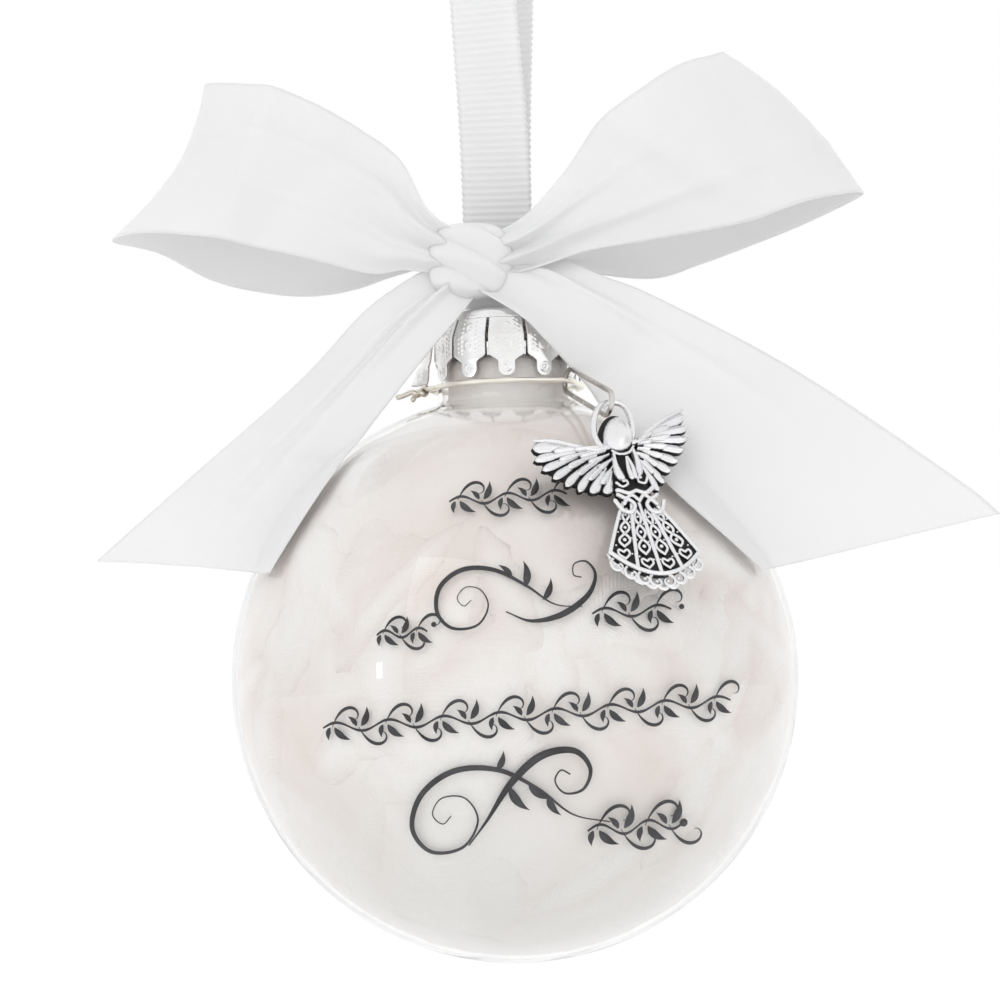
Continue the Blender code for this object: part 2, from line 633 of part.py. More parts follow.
def build_bow_knot(satin, parent):
    """A rounded block for the gathered knot."""
    verts = []
    faces = []
    shape = bmesh.new()
    bmesh.ops.create_uvsphere(shape, u_segments=20, v_segments=10, radius=1.0)
    for vert in shape.verts:
        x, y, z = (math.copysign(abs(part) ** 0.8, part) for part in vert.co)
        verts.append(KNOT_CENTRE + Vector((x * KNOT_SIZE[0], y * KNOT_SIZE[1], z * KNOT_SIZE[2])) / 2)
    for face in shape.faces:
        faces.append([vert.index for vert in face.verts])
    shape.free()
    add_solid("bow_knot", verts, faces, satin, parent)


def build_bow_tie(satin, parent):
    """The satin behind the knot: a flat ring round the clip's waist, up against the knot."""
    level = BALL_CENTRE.z + CAP_TOP_Z + GAP
    inner_x = WAIST_HALF_WIDTH + CLIP_WIRE_RADIUS + GAP
    back = CLIP_WIRE_RADIUS + GAP
    front = -KNOT_BACK - GAP - TIE_THICKNESS
    middle_y = (back - front) / 2
    verts = []
    count = 20
    for height in (level, level + TIE_HEIGHT):
        for wall in (0.0, TIE_THICKNESS):
            for step in range(count):
                angle = 2 * math.pi * step / count
                x = (inner_x + 0.5 * MM + wall) * math.cos(angle)
                y = ((front + back) / 2 + wall) * math.sin(angle)
                verts.append((x, middle_y + y, height))
    faces = []
    for a in range(count):
        b = (a + 1) % count
        for p, q in ((0, 1), (1, 3), (3, 2), (2, 0)):
            faces.append((a + p * count, b + p * count, b + q * count, a + q * count))
    add_solid("bow_tie", verts, faces, satin, parent)


def build_bow(parent):
    """Knot, tie, two loops and two tails of the satin ribbon."""
    satin = make_material("white_satin", (0.92, 0.92, 0.93), 0.4)
    build_bow_knot(satin, parent)
    build_bow_tie(satin, parent)
    build_bow_stretch("bow_loop_left", LEFT_LOOP_UPPER, LEFT_LOOP_LOWER, LEFT_REACH, LEFT_RISE, satin, parent)
    build_bow_stretch("bow_loop_right", RIGHT_LOOP_UPPER, RIGHT_LOOP_LOWER, RIGHT_REACH, RIGHT_RISE,
                      satin, parent)
    build_bow_stretch("bow_tail_left", LEFT_TAIL_UPPER, LEFT_TAIL_LOWER, LEFT_TAIL_LENGTH,
                      LEFT_TAIL_FALL, satin, parent, over_ball=True)
    build_bow_stretch("bow_tail_right", RIGHT_TAIL_UPPER, RIGHT_TAIL_LOWER, RIGHT_TAIL_LENGTH,
                      RIGHT_TAIL_FALL, satin, parent, over_ball=True)


def main():
    """Build the ornament from the hanging point down."""
    clear_scene()
    hanging_point = add_empty("hanging_point", Vector())
    swing = add_empty("ornament_swing", EYE_TOP, hanging_point)
    ball = add_empty("ball_pull_off", BALL_CENTRE, swing)
    collar = add_empty("wire_turn", BALL_CENTRE, ball)
    at_wire, at_halo = ring_ends()
    ring = add_empty("ring_swing", at_wire, collar)
    charm = add_empty("charm_swing", at_halo, ring)
    build_hanging_ribbon(hanging_point)
    build_hanger_clip(swing)
    build_cap(swing)
    build_bow(swing)
    build_glass_ball(ball)
    build_feathers(ball)
    build_neck_wire(collar)
    build_jump_ring(ring)
    build_angel_charm(charm)


main()
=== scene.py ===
"""Dresses the glass ball ornament: a ball full of white feathers, its cap, its bow and an angel charm."""

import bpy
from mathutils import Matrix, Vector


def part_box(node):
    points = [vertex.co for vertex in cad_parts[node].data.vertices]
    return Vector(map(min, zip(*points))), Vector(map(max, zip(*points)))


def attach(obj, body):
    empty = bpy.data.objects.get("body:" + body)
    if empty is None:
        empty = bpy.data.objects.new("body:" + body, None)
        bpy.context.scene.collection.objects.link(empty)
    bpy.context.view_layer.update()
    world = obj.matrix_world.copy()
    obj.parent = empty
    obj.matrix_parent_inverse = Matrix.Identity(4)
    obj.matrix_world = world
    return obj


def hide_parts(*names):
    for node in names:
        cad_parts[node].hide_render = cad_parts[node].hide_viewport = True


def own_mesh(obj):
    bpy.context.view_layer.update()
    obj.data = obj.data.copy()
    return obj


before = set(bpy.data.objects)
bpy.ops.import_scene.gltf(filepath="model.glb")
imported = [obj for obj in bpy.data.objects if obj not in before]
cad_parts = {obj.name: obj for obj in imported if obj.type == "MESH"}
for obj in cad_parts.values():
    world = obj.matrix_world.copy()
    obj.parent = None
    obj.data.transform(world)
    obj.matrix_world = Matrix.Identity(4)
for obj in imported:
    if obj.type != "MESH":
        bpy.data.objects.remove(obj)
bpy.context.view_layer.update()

import logging
import math
from dataclasses import dataclass
from enum import Enum

import bmesh
import bpy
import numpy as np
from mathutils import Matrix, Vector

LOG = logging.getLogger("ornament")
MM = 0.001
UP = np.array([0.0, 0.0, 1.0])


# ---------------------------------------------------------------- places shared by the pieces

BALL_RADIUS = 40.0 * MM
BALL_CENTRE = np.array([0.0, 0.0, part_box("glass_ball")[0].z + BALL_RADIUS])
NECK_RADIUS = 9.9 * MM
NECK_FILLET = 1.6 * MM
GLASS_WALL = 0.45 * MM
FILLET_Z = math.sqrt((BALL_RADIUS + NECK_FILLET) ** 2 - (NECK_RADIUS + NECK_FILLET) ** 2)
NECK_TOP_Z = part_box("glass_ball")[1].z - BALL_CENTRE[2]
CAP_TOP_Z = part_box("cap")[1].z - BALL_CENTRE[2]
TAB_TIP_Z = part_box("cap")[0].z - BALL_CENTRE[2]
WIRE_Z = FILLET_Z + 1.2 * MM
WIRE_RADIUS = 0.4 * MM
RING_THICK = 0.35 * MM
RING_PLAY = 0.3 * MM
RING_SEAT = NECK_RADIUS + 0.7 * MM + 2 * RING_THICK + RING_PLAY + WIRE_RADIUS
RING_AZIMUTH = math.radians(46)
PETAL_ROOT = NECK_RADIUS + 0.5 * MM
KNOT_CENTRE = np.array([-4.7 * MM, -6.0 * MM, -89.1 * MM])


class Body(Enum):
    """The moving bodies of the ornament."""

    LOOP = "hanging_loop"
    CAP = "cap_and_bow"
    BALL = "ball"
    WIRE = "wire"
    RING = "ring"
    CHARM = "charm"


class Slot(Enum):
    """The record's material slots."""

    GLASS = "clear_glass"
    FEATHER = "white_feather"
    CAP = "cap_silver"
    CLIP = "clip_steel"
    NECK_WIRE = "neck_wire_silver"
    RING = "ring_silver"
    CHARM = "charm_silver"
    RIBBON = "ribbed_ribbon"
    SATIN = "white_satin"


# ---------------------------------------------------------------- shapes


def unit(vectors: np.ndarray) -> np.ndarray:
    """Vectors scaled to length one along their last axis.

    Args:
        vectors: any array of vectors.

    Returns:
        The same array with every vector one long.
    """
    return vectors / np.maximum(np.linalg.norm(vectors, axis=-1, keepdims=True), 1e-12)


def ease(value: np.ndarray, start: float, end: float) -> np.ndarray:
    """Smooth rise from 0 at start to 1 at end: 3t² − 2t³ of the clipped share t.

    Args:
        value: where to read the rise.
        start: where the rise begins.
        end: where it is complete.

    Returns:
        The rise at each value.
    """
    share = np.clip((np.asarray(value, float) - start) / (end - start), 0.0, 1.0)
    return share * share * (3.0 - 2.0 * share)


def smooth_line(points: np.ndarray, count: int, closed: bool = False) -> np.ndarray:
    """Catmull-Rom curve through the points, read at even steps of its length.

    Args:
        points: (n, k) points that the curve goes through.
        count: how many points to return.
        closed: True if the last point joins the first.

    Returns:
        (count, k) points; on a closed curve the last one repeats the first.
    """
    points = np.asarray(points, float)
    if closed:
        padded = np.vstack([points[-1:], points, points[:2]])
    else:
        padded = np.vstack([2 * points[:1] - points[1:2], points, 2 * points[-1:] - points[-2:-1]])
    t = np.linspace(0, 1, 16, endpoint=False)[None, :, None]
    a, b, c, d = (padded[k : len(padded) - 3 + k][:, None, :] for k in range(4))
    runs = 0.5 * (2 * b + (c - a) * t + (2 * a - 5 * b + 4 * c - d) * t**2 + (3 * b - a - 3 * c + d) * t**3)
    dense = np.vstack([runs.reshape(-1, points.shape[1]), padded[-2:-1]])
    length = np.concatenate([[0], np.cumsum(np.linalg.norm(np.diff(dense, axis=0), axis=1))])
    wanted = np.linspace(0, length[-1], count)
    return np.stack([np.interp(wanted, length, dense[:, k]) for k in range(points.shape[1])], axis=1)


def around(azimuth: np.ndarray, radius: np.ndarray, height: np.ndarray) -> np.ndarray:
    """Points about the ball's upright axis: x = r sin a, y = −r cos a, so azimuth 0 is the front.

    Args:
        azimuth: angle from the front towards +X, in radians.
        radius: distance from the axis.
        height: height above the ball's centre.

    Returns:
        Points in the row frame.
    """
    azimuth, radius, height = np.broadcast_arrays(azimuth, radius, height)
    return BALL_CENTRE + np.stack([radius * np.sin(azimuth), -radius * np.cos(azimuth), height], axis=-1)


def turned(profile: np.ndarray, columns: int) -> np.ndarray:
    """Surface of revolution about the ball's axis: every profile point goes once round.

    Args:
        profile: (n, 2) of radius and height above the ball's centre.
        columns: steps round the axis.

    Returns:
        (n, columns + 1, 3) grid whose last column repeats the first.
    """
    profile = np.asarray(profile, float)
    azimuth = np.linspace(0, 2 * math.pi, columns + 1)
    return around(azimuth[None, :], profile[:, :1], profile[:, 1:])


def tube(path: np.ndarray, radius: float | np.ndarray, sides: int = 12, across: np.ndarray = UP,
         closed: bool = False) -> np.ndarray:
    """Round bar along a path: path point + radius × (cos a × side + sin a × other side).

    Args:
        path: (n, 3) points of the middle line.
        radius: one radius, or one for each point.
        sides: flats round the bar.
        across: a direction that the path never runs along.
        closed: True if the path's last point repeats its first, so that no ends are needed.

    Returns:
        Grid of points, with half-round ends where the path is open.
    """
    path = np.asarray(path, float)
    radius = np.broadcast_to(np.asarray(radius, float), len(path)).copy()
    if closed:
        steps = np.vstack([path[-2:-1], path, path[1:2]])
        tangent = unit(steps[2:] - steps[:-2])
    else:
        tangent = unit(np.gradient(path, axis=0))
        bend = np.linspace(0, math.pi / 2, 5)[:-1]
        head = path[:1] - tangent[:1] * (radius[0] * np.cos(bend))[:, None]
        foot = path[-1:] + tangent[-1:] * (radius[-1] * np.cos(bend[::-1]))[:, None]
        path = np.vstack([head, path, foot])
        tangent = np.vstack([np.repeat(tangent[:1], 4, 0), tangent, np.repeat(tangent[-1:], 4, 0)])
        radius = np.concatenate([radius[0] * np.sin(bend), radius, radius[-1] * np.sin(bend[::-1])])
    side = unit(np.cross(tangent, across))
    other = np.cross(side, tangent)
    angle = np.linspace(0, 2 * math.pi, sides + 1)[None, :, None]
    ring = np.cos(angle) * side[:, None, :] + np.sin(angle) * other[:, None, :]
    return path[:, None, :] + radius[:, None, None] * ring


def shut(front: np.ndarray, back: np.ndarray) -> np.ndarray:
    """One grid that crosses the front, comes back across the back and meets its start.

    Args:
        front: (rows, columns, 3) points.
        back: the points behind them.

    Returns:
        (rows, 2 × columns + 1, 3) grid.
    """
    return np.concatenate([front, back[:, ::-1], front[:, :1]], axis=1)


class Patchwork:
    """Collects point grids and joins them into one mesh."""

    def __init__(self) -> None:
        """Start with nothing."""
        self.points: list[np.ndarray] = []
        self.quads: list[np.ndarray] = []
        self.laid: list[np.ndarray] = []
        self.tones: list[np.ndarray] = []
        self.count = 0

    def add(self, grid: np.ndarray, laid: np.ndarray | None = None, tone: float | np.ndarray = 1.0) -> None:
        """Add the quads of one grid of points.

        Args:
            grid: (rows, columns, 3) points.
            laid: (rows, columns, 2) place on the flat cloth, for patterns that follow the surface.
            tone: one value, or one for each point, kept as the attribute "tone".
        """
        rows, columns = grid.shape[:2]
        corner = (np.arange(rows - 1)[:, None] * columns + np.arange(columns - 1)[None, :]).reshape(-1)
        quads = np.stack([corner, corner + columns, corner + columns + 1, corner + 1], axis=1)
        if laid is None:
            share = np.meshgrid(np.linspace(0, 1, rows), np.linspace(0, 1, columns), indexing="ij")
            laid = np.stack(share, axis=-1)
        self.points.append(grid.reshape(-1, 3))
        self.quads.append(quads + self.count)
        self.laid.append(np.broadcast_to(laid, (rows, columns, 2)).reshape(-1, 2))
        self.tones.append(np.broadcast_to(tone, (rows, columns)).reshape(-1).astype(float))
        self.count += rows * columns

    def make(self, name: str, body: Body, slot: Slot, material: bpy.types.Material, closed: bool = True,
             wall: float = 0.0, stands_for: tuple[str, ...] = ()) -> bpy.types.Object:
        """Weld the grids into one smooth piece that rides on a body.

        Args:
            name: the piece's name.
            body: what it moves with.
            slot: the record's slot of its finish; not used.
            material: its finish.
            closed: True if the surface shuts, so that its faces can be turned outwards.
            wall: thickness given by Solidify to an open surface, in metres.
            stands_for: the CAD nodes it replaces.

        Returns:
            The new object.
        """
        points = np.vstack(self.points)
        quads = np.vstack(self.quads)
        mesh = bpy.data.meshes.new(name)
        mesh.from_pydata(points, [], quads.tolist())
        corners = np.empty(len(mesh.loops), np.int32)
        mesh.loops.foreach_get("vertex_index", corners)
        flat = np.vstack(self.laid)[corners].astype(np.float32)
        mesh.uv_layers.new(name="laid").data.foreach_set("uv", flat.ravel())
        tone = mesh.attributes.new("tone", "FLOAT", "POINT")
        tone.data.foreach_set("value", np.concatenate(self.tones).astype(np.float32))
        welded = bmesh.new()
        welded.from_mesh(mesh)
        bmesh.ops.remove_doubles(welded, verts=welded.verts, dist=1e-6)
        if closed:
            bmesh.ops.recalc_face_normals(welded, faces=welded.faces)
        welded.to_mesh(mesh)
        welded.free()
        mesh.polygons.foreach_set("use_smooth", np.ones(len(mesh.polygons), bool))
        mesh.materials.append(material)
        piece = bpy.data.objects.new(name, mesh)
        bpy.context.scene.collection.objects.link(piece)
        if wall:
            thick = piece.modifiers.new("wall", "SOLIDIFY")
            thick.thickness = wall
            thick.offset = 0.0
        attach(piece, body.value)
        if stands_for:
            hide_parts(*stands_for)
        LOG.info("%s: %d faces on %s", name, len(mesh.polygons), body.value)
        return piece


# ---------------------------------------------------------------- finishes


class NodeBench:
    """Adds and joins nodes in one tree."""

    def __init__(self, tree: bpy.types.NodeTree) -> None:
        """Work in this tree."""
        self.tree = tree

    def add(self, kind: str, inputs: dict | None = None, **settings: object) -> bpy.types.Node:
        """Add a node.

        Args:
            kind: the node type without "ShaderNode".
            inputs: values, or sockets to link, by input name or number.
            settings: properties of the node.

        Returns:
            The new node.
        """
        node = self.tree.nodes.new(kind if kind.startswith("NodeGroup") else "ShaderNode" + kind)
        for name, value in settings.items():
            setattr(node, name, value)
        for name, value in (inputs or {}).items():
            if isinstance(value, bpy.types.NodeSocket):
                self.tree.links.new(value, node.inputs[name])
            else:
                node.inputs[name].default_value = value
        return node

    def sum(self, operation: str, first: object, second: object = 0.0) -> bpy.types.NodeSocket:
        """A Math node's result for two values or sockets."""
        return self.add("Math", {0: first, 1: second}, operation=operation).outputs[0]

    def blend(self, factor: object, low: object, high: object) -> bpy.types.NodeSocket:
        """A colour between low and high, by a factor."""
        node = self.add("Mix", data_type="RGBA")
        for socket, value in ((node.inputs[0], factor), (node.inputs[6], low), (node.inputs[7], high)):
            if isinstance(value, bpy.types.NodeSocket):
                self.tree.links.new(value, socket)
            else:
                socket.default_value = value
        return node.outputs[2]

    def feed(self, value: bpy.types.NodeSocket, node: bpy.types.Node, name: str) -> None:
        """Link a socket to the named input of a node."""
        self.tree.links.new(value, node.inputs[name])

    def range(self, value: object, old: tuple[float, float],
              new: tuple[float, float]) -> bpy.types.NodeSocket:
        """A value carried from one range to another, held at the ends."""
        inputs = {0: value, 1: old[0], 2: old[1], 3: new[0], 4: new[1]}
        return self.add("MapRange", inputs).outputs[0]


def opaque(colour: tuple[float, float, float]) -> tuple[float, float, float, float]:
    """The colour with full cover, as a colour socket takes it."""
    return (*colour, 1.0)


def new_group(name: str, inputs: dict[str, float], outputs: dict[str, str]) -> tuple:
    """Start a shader node group.

    Args:
        name: the group's name.
        inputs: the float inputs and their usual values.
        outputs: the outputs and their socket kinds, Float or Color.

    Returns:
        The group tree, a bench on it, its input node and its output node.
    """
    tree = bpy.data.node_groups.new(name, "ShaderNodeTree")
    for label, value in inputs.items():
        socket = tree.interface.new_socket(label, in_out="INPUT", socket_type="NodeSocketFloat")
        socket.default_value = value
    for label, kind in outputs.items():
        tree.interface.new_socket(label, in_out="OUTPUT", socket_type="NodeSocket" + kind)
    return tree, NodeBench(tree), tree.nodes.new("NodeGroupInput"), tree.nodes.new("NodeGroupOutput")


def build_handling_group() -> bpy.types.NodeTree:
    """Drawn and handled metal: fine noise for roughness, and a stretched noise for hairlines.

    Returns:
        The group, with outputs Roughness, Height and Tarnish.
    """
    tree, bench, given, out = new_group("handled_metal", {"Scale": 900.0, "Base": 0.25, "Spread": 0.15},
                                        {"Roughness": "Float", "Height": "Float", "Tarnish": "Float"})
    place = bench.add("TexCoord").outputs["Object"]
    fine = bench.add("TexNoise", {"Vector": place, "Scale": given.outputs["Scale"], "Detail": 4.0}).outputs[0]
    cloud = bench.add("TexNoise", {"Vector": place, "Scale": 160.0, "Detail": 3.0}).outputs[0]
    level = bench.sum("MULTIPLY", bench.sum("SUBTRACT", fine, 0.5), given.outputs["Spread"])
    bench.feed(bench.sum("ADD", level, given.outputs["Base"]), out, "Roughness")
    bench.feed(fine, out, "Height")
    bench.feed(bench.range(cloud, (0.35, 0.7), (0.0, 1.0)), out, "Tarnish")
    return tree


def build_mottle_group() -> bpy.types.NodeTree:
    """Soft clouds of shade for white stuff: two noises mixed, coarse and fine.

    Returns:
        The group, with outputs Cloud and Fleck.
    """
    tree, bench, given, out = new_group("soft_mottle", {"Coarse": 60.0, "Fine": 900.0},
                                        {"Cloud": "Float", "Fleck": "Float"})
    place = bench.add("TexCoord").outputs["Object"]
    inputs = {"Vector": place, "Scale": given.outputs["Coarse"], "Detail": 3.0, "Distortion": 1.2}
    cloud = bench.add("TexNoise", inputs).outputs[0]
    inputs = {"Vector": place, "Scale": given.outputs["Fine"], "Detail": 3.0}
    fleck = bench.add("TexNoise", inputs).outputs[0]
    bench.feed(bench.range(cloud, (0.3, 0.72), (0.0, 1.0)), out, "Cloud")
    bench.feed(bench.range(fleck, (0.3, 0.7), (0.0, 1.0)), out, "Fleck")
    return tree


def build_thread_group() -> bpy.types.NodeTree:
    """Woven threads on the flat cloth: sine of the distance along times sine of the distance across.

    Returns:
        The group, with outputs Height and Selvage, a mask of the two woven edges.
    """
    tree, bench, given, out = new_group("woven_threads", {"Along": 0.25, "Across": 0.18, "Width": 25.0},
                                        {"Height": "Float", "Selvage": "Float"})
    laid = bench.add("SeparateXYZ", {0: bench.add("UVMap", uv_map="laid").outputs[0]})
    turns = []
    for axis, label in ((0, "Along"), (1, "Across")):
        angle = bench.sum("DIVIDE", laid.outputs[axis], given.outputs[label])
        turns.append(bench.sum("SINE", bench.sum("MULTIPLY", angle, 2 * math.pi)))
    woven = bench.sum("MULTIPLY", turns[0], turns[1])
    bench.feed(bench.sum("ADD", woven, turns[0]), out, "Height")
    middle = bench.sum("MULTIPLY", given.outputs["Width"], 0.5)
    edge = bench.sum("ABSOLUTE", bench.sum("SUBTRACT", laid.outputs[1], middle))
    inside = bench.sum("SUBTRACT", middle, edge)
    bench.feed(bench.range(inside, (0.45, 0.75), (1.0, 0.0)), out, "Selvage")
    return tree


class Groups:
    """The shared effects, each built once."""

    def __init__(self) -> None:
        """Build every group."""
        self.handling = build_handling_group()
        self.mottle = build_mottle_group()
        self.threads = build_thread_group()


@dataclass(frozen=True)
class Finish:
    """A finish with a plain shader, which each kind of finish adds to."""

    name: str
    colour: tuple[float, float, float] = (0.8, 0.8, 0.8)
    roughness: float = 0.5
    metallic: float = 0.0

    def start(self) -> tuple[bpy.types.Material, NodeBench, bpy.types.Node]:
        """Make the material with its shader's own constants.

        Returns:
            The material, a bench on its tree and its Principled shader.
        """
        material = bpy.data.materials.new(self.name)
        material.use_nodes = True
        bench = NodeBench(material.node_tree)
        shader = material.node_tree.nodes["Principled BSDF"]
        shader.inputs["Base Color"].default_value = opaque(self.colour)
        shader.inputs["Roughness"].default_value = self.roughness
        shader.inputs["Metallic"].default_value = self.metallic
        return material, bench, shader

    def group(self, bench: NodeBench, tree: bpy.types.NodeTree, **inputs: float) -> bpy.types.Node:
        """Place a shared group with this finish's own values."""
        return bench.add("Group", dict(inputs), node_tree=tree)

    def bump(self, bench: NodeBench, shader: bpy.types.Node, height: object, strength: float,
             distance: float) -> None:
        """Raise the surface by a height through a Bump node."""
        inputs = {"Height": height, "Strength": strength, "Distance": distance}
        bench.feed(bench.add("Bump", inputs).outputs[0], shader, "Normal")


@dataclass(frozen=True)
class GlassFinish(Finish):
    """Clear blown glass with a faint unevenness, which lets lamps and bounced light through."""

    index: float = 1.45

    def make(self, groups: Groups) -> bpy.types.Material:
        """Make the glass.

        Args:
            groups: the shared effects.

        Returns:
            The material.
        """
        material, bench, shader = self.start()
        shader.inputs["Transmission Weight"].default_value = 1.0
        shader.inputs["IOR"].default_value = self.index
        mottle = self.group(bench, groups.mottle, Coarse=22.0, Fine=150.0)
        rough = bench.range(mottle.outputs["Fleck"], (0.2, 1.0), (0.0, self.roughness))
        bench.feed(rough, shader, "Roughness")
        self.bump(bench, shader, mottle.outputs["Cloud"], 0.05, 0.0004)
        clear = bench.add("BsdfTransparent")
        path = bench.add("LightPath")
        unseen = bench.sum("MAXIMUM", path.outputs["Is Shadow Ray"], path.outputs["Is Diffuse Ray"])
        mix = bench.add("MixShader", {0: unseen, 1: shader.outputs[0], 2: clear.outputs[0]})
        out = bench.tree.nodes["Material Output"]
        bench.feed(mix.outputs[0], out, "Surface")
        return material


@dataclass(frozen=True)
class FeatherFinish(Finish):
    """White feathers: barbs run slantwise from the quill, shade varies from feather to feather.

    Each feather is paler along its quill, and the colour darkens and greys towards the bottom of the ball as
    painted shade.
    """

    shade: tuple[float, float, float] = (0.7, 0.6, 0.55)
    barb_pitch: float = 0.027
    barb_shade: float = 0.02
    barb_rise: float = 0.25
    streak: float = 0.9
    # grey of the painted shade towards the bottom of the ball
    low: tuple[float, float, float] = (0.53, 0.53, 0.51)

    def make(self, groups: Groups) -> bpy.types.Material:
        """Make the feather finish.

        Args:
            groups: the shared effects.

        Returns:
            The material.
        """
        material, bench, shader = self.start()
        laid = bench.add("SeparateXYZ", {0: bench.add("UVMap", uv_map="laid").outputs[0]})
        side = bench.sum("ABSOLUTE", bench.sum("SUBTRACT", laid.outputs[1], 0.5))
        slant = bench.sum("SUBTRACT", laid.outputs[0], bench.sum("MULTIPLY", side, 0.35))
        barbs = bench.sum("SINE", bench.sum("MULTIPLY", slant, 2 * math.pi / self.barb_pitch))
        mottle = self.group(bench, groups.mottle, Coarse=34.0, Fine=700.0)
        tone = bench.add("Attribute", attribute_name="tone").outputs["Fac"]
        vane = bench.range(side, (0.05, 0.4), (self.streak, 0.0))
        end = bench.sum("ABSOLUTE", bench.sum("SUBTRACT", laid.outputs[0], 0.5))
        vane = bench.sum("MULTIPLY", vane, bench.range(end, (0.2, 0.46), (1.0, 0.0)))
        lift = bench.sum("SUBTRACT", 1.0, bench.sum("MULTIPLY", vane, tone))
        warm = bench.sum("MULTIPLY", mottle.outputs["Cloud"], lift)
        barred = bench.sum("ADD", warm, bench.sum("MULTIPLY", barbs, self.barb_shade))
        cloud = bench.range(barred, (0.1, 0.9), (0.0, 1.0))
        height = bench.add("SeparateXYZ", {0: bench.add("TexCoord").outputs["Object"]}).outputs[2]
        # painted shade: the colour is blended towards the grey low colour down the lower part of the ball
        painted_bottom_shade = bench.range(height, (BALL_CENTRE[2] - 8 * MM, BALL_CENTRE[2] - 38 * MM), (0.0, 0.75))
        loose = bench.blend(cloud, opaque(self.colour), opaque(self.shade))
        bench.feed(bench.blend(painted_bottom_shade, loose, opaque(self.low)), shader, "Base Color")
        shader.inputs["Sheen Weight"].default_value = 0.3
        shader.inputs["Sheen Roughness"].default_value = 0.5
        rise = bench.sum("ADD", bench.sum("MULTIPLY", barbs, self.barb_rise), mottle.outputs["Fleck"])
        self.bump(bench, shader, rise, 0.35, 0.0002)
        return material


@dataclass(frozen=True)
class MetalFinish(Finish):
    """Plated or drawn metal with handling marks and a trace of tarnish."""

    tarnish: tuple[float, float, float] = (0.6, 0.6, 0.6)
    spread: float = 0.15
    grain: float = 900.0

    def make(self, groups: Groups) -> bpy.types.Material:
        """Make the metal.

        Args:
            groups: the shared effects.

        Returns:
            The material.
        """
        material, bench, shader = self.start()
        marks = self.group(bench, groups.handling, Scale=self.grain, Base=self.roughness, Spread=self.spread)
        colour = bench.blend(marks.outputs["Tarnish"], opaque(self.colour), opaque(self.tarnish))
        bench.feed(colour, shader, "Base Color")
        bench.feed(marks.outputs["Roughness"], shader, "Roughness")
        self.bump(bench, shader, marks.outputs["Height"], 0.12, 0.00004)
        return material


@dataclass(frozen=True)
class AntiqueFinish(Finish):
    """Silver whose recesses are blackened: the tone attribute says how raised a point is."""

    black: tuple[float, float, float] = (0.012, 0.012, 0.013)

    def make(self, groups: Groups) -> bpy.types.Material:
        """Make the antique silver.

        Args:
            groups: the shared effects.

        Returns:
            The material.
        """
        material, bench, shader = self.start()
        marks = self.group(bench, groups.handling, Scale=1400.0, Base=self.roughness, Spread=0.2)
        tone = bench.add("Attribute", attribute_name="tone").outputs["Fac"]
        ragged = bench.sum("ADD", tone, bench.range(marks.outputs["Height"], (0.3, 0.7), (-0.12, 0.12)))
        raised = bench.range(ragged, (0.32, 0.62), (0.0, 1.0))
        colour = bench.blend(raised, opaque(self.black), opaque(self.colour))
        bench.feed(colour, shader, "Base Color")
        bench.feed(bench.range(raised, (0.0, 1.0), (0.3, 1.0)), shader, "Metallic")
        rough = bench.sum("ADD", marks.outputs["Roughness"], bench.range(raised, (0.0, 1.0), (0.35, 0.0)))
        bench.feed(rough, shader, "Roughness")
        self.bump(bench, shader, marks.outputs["Height"], 0.2, 0.00006)
        return material


@dataclass(frozen=True)
class ClothFinish(Finish):
    """Woven ribbon: threads, a denser selvage and soft shading from handling."""

    shade: tuple[float, float, float] = (0.7, 0.7, 0.7)
    width: float = 25.0
    along: float = 0.24
    across: float = 0.17
    sheen: float = 0.3
    relief: float = 0.06
    glow: float = 0.5
    glow_depth: float = 1.0 * MM

    def make(self, groups: Groups) -> bpy.types.Material:
        """Make the cloth.

        Args:
            groups: the shared effects.

        Returns:
            The material.
        """
        material, bench, shader = self.start()
        threads = self.group(bench, groups.threads, Along=self.along, Across=self.across, Width=self.width)
        mottle = self.group(bench, groups.mottle, Coarse=45.0, Fine=1500.0)
        worn = bench.sum("MULTIPLY", mottle.outputs["Cloud"], 0.35)
        colour = bench.blend(bench.sum("ADD", worn, bench.sum("MULTIPLY", threads.outputs["Selvage"], 0.35)),
                             opaque(self.colour), opaque(self.shade))
        bench.feed(colour, shader, "Base Color")
        rough = bench.range(threads.outputs["Selvage"], (0.0, 1.0), (self.roughness, 0.8))
        rough = bench.sum("ADD", rough, bench.sum("MULTIPLY", mottle.outputs["Fleck"], 0.08))
        bench.feed(rough, shader, "Roughness")
        shader.inputs["Subsurface Weight"].default_value = self.glow
        shader.inputs["Subsurface Radius"].default_value = (1.0, 1.0, 1.0)
        shader.inputs["Subsurface Scale"].default_value = self.glow_depth
        shader.inputs["Sheen Weight"].default_value = self.sheen
        shader.inputs["Sheen Roughness"].default_value = 0.4
        ridge = bench.sum("MULTIPLY", threads.outputs["Selvage"], 4.0)
        rise = bench.sum("ADD", threads.outputs["Height"], ridge)
        self.bump(bench, shader, rise, self.relief, 0.00005)
        return material


@dataclass(frozen=True)
class InkFinish(Finish):
    """Near-black printing ink with a slightly uneven film."""

    thin: tuple[float, float, float] = (0.06, 0.06, 0.065)

    def make(self, groups: Groups) -> bpy.types.Material:
        """Make the ink.

        Args:
            groups: the shared effects.

        Returns:
            The material.
        """
        material, bench, shader = self.start()
        mottle = self.group(bench, groups.mottle, Coarse=160.0, Fine=2200.0)
        colour = bench.blend(mottle.outputs["Cloud"], opaque(self.colour), opaque(self.thin))
        bench.feed(colour, shader, "Base Color")
        rough = bench.range(mottle.outputs["Fleck"], (0.0, 1.0), (self.roughness, self.roughness + 0.2))
        bench.feed(rough, shader, "Roughness")
        return material


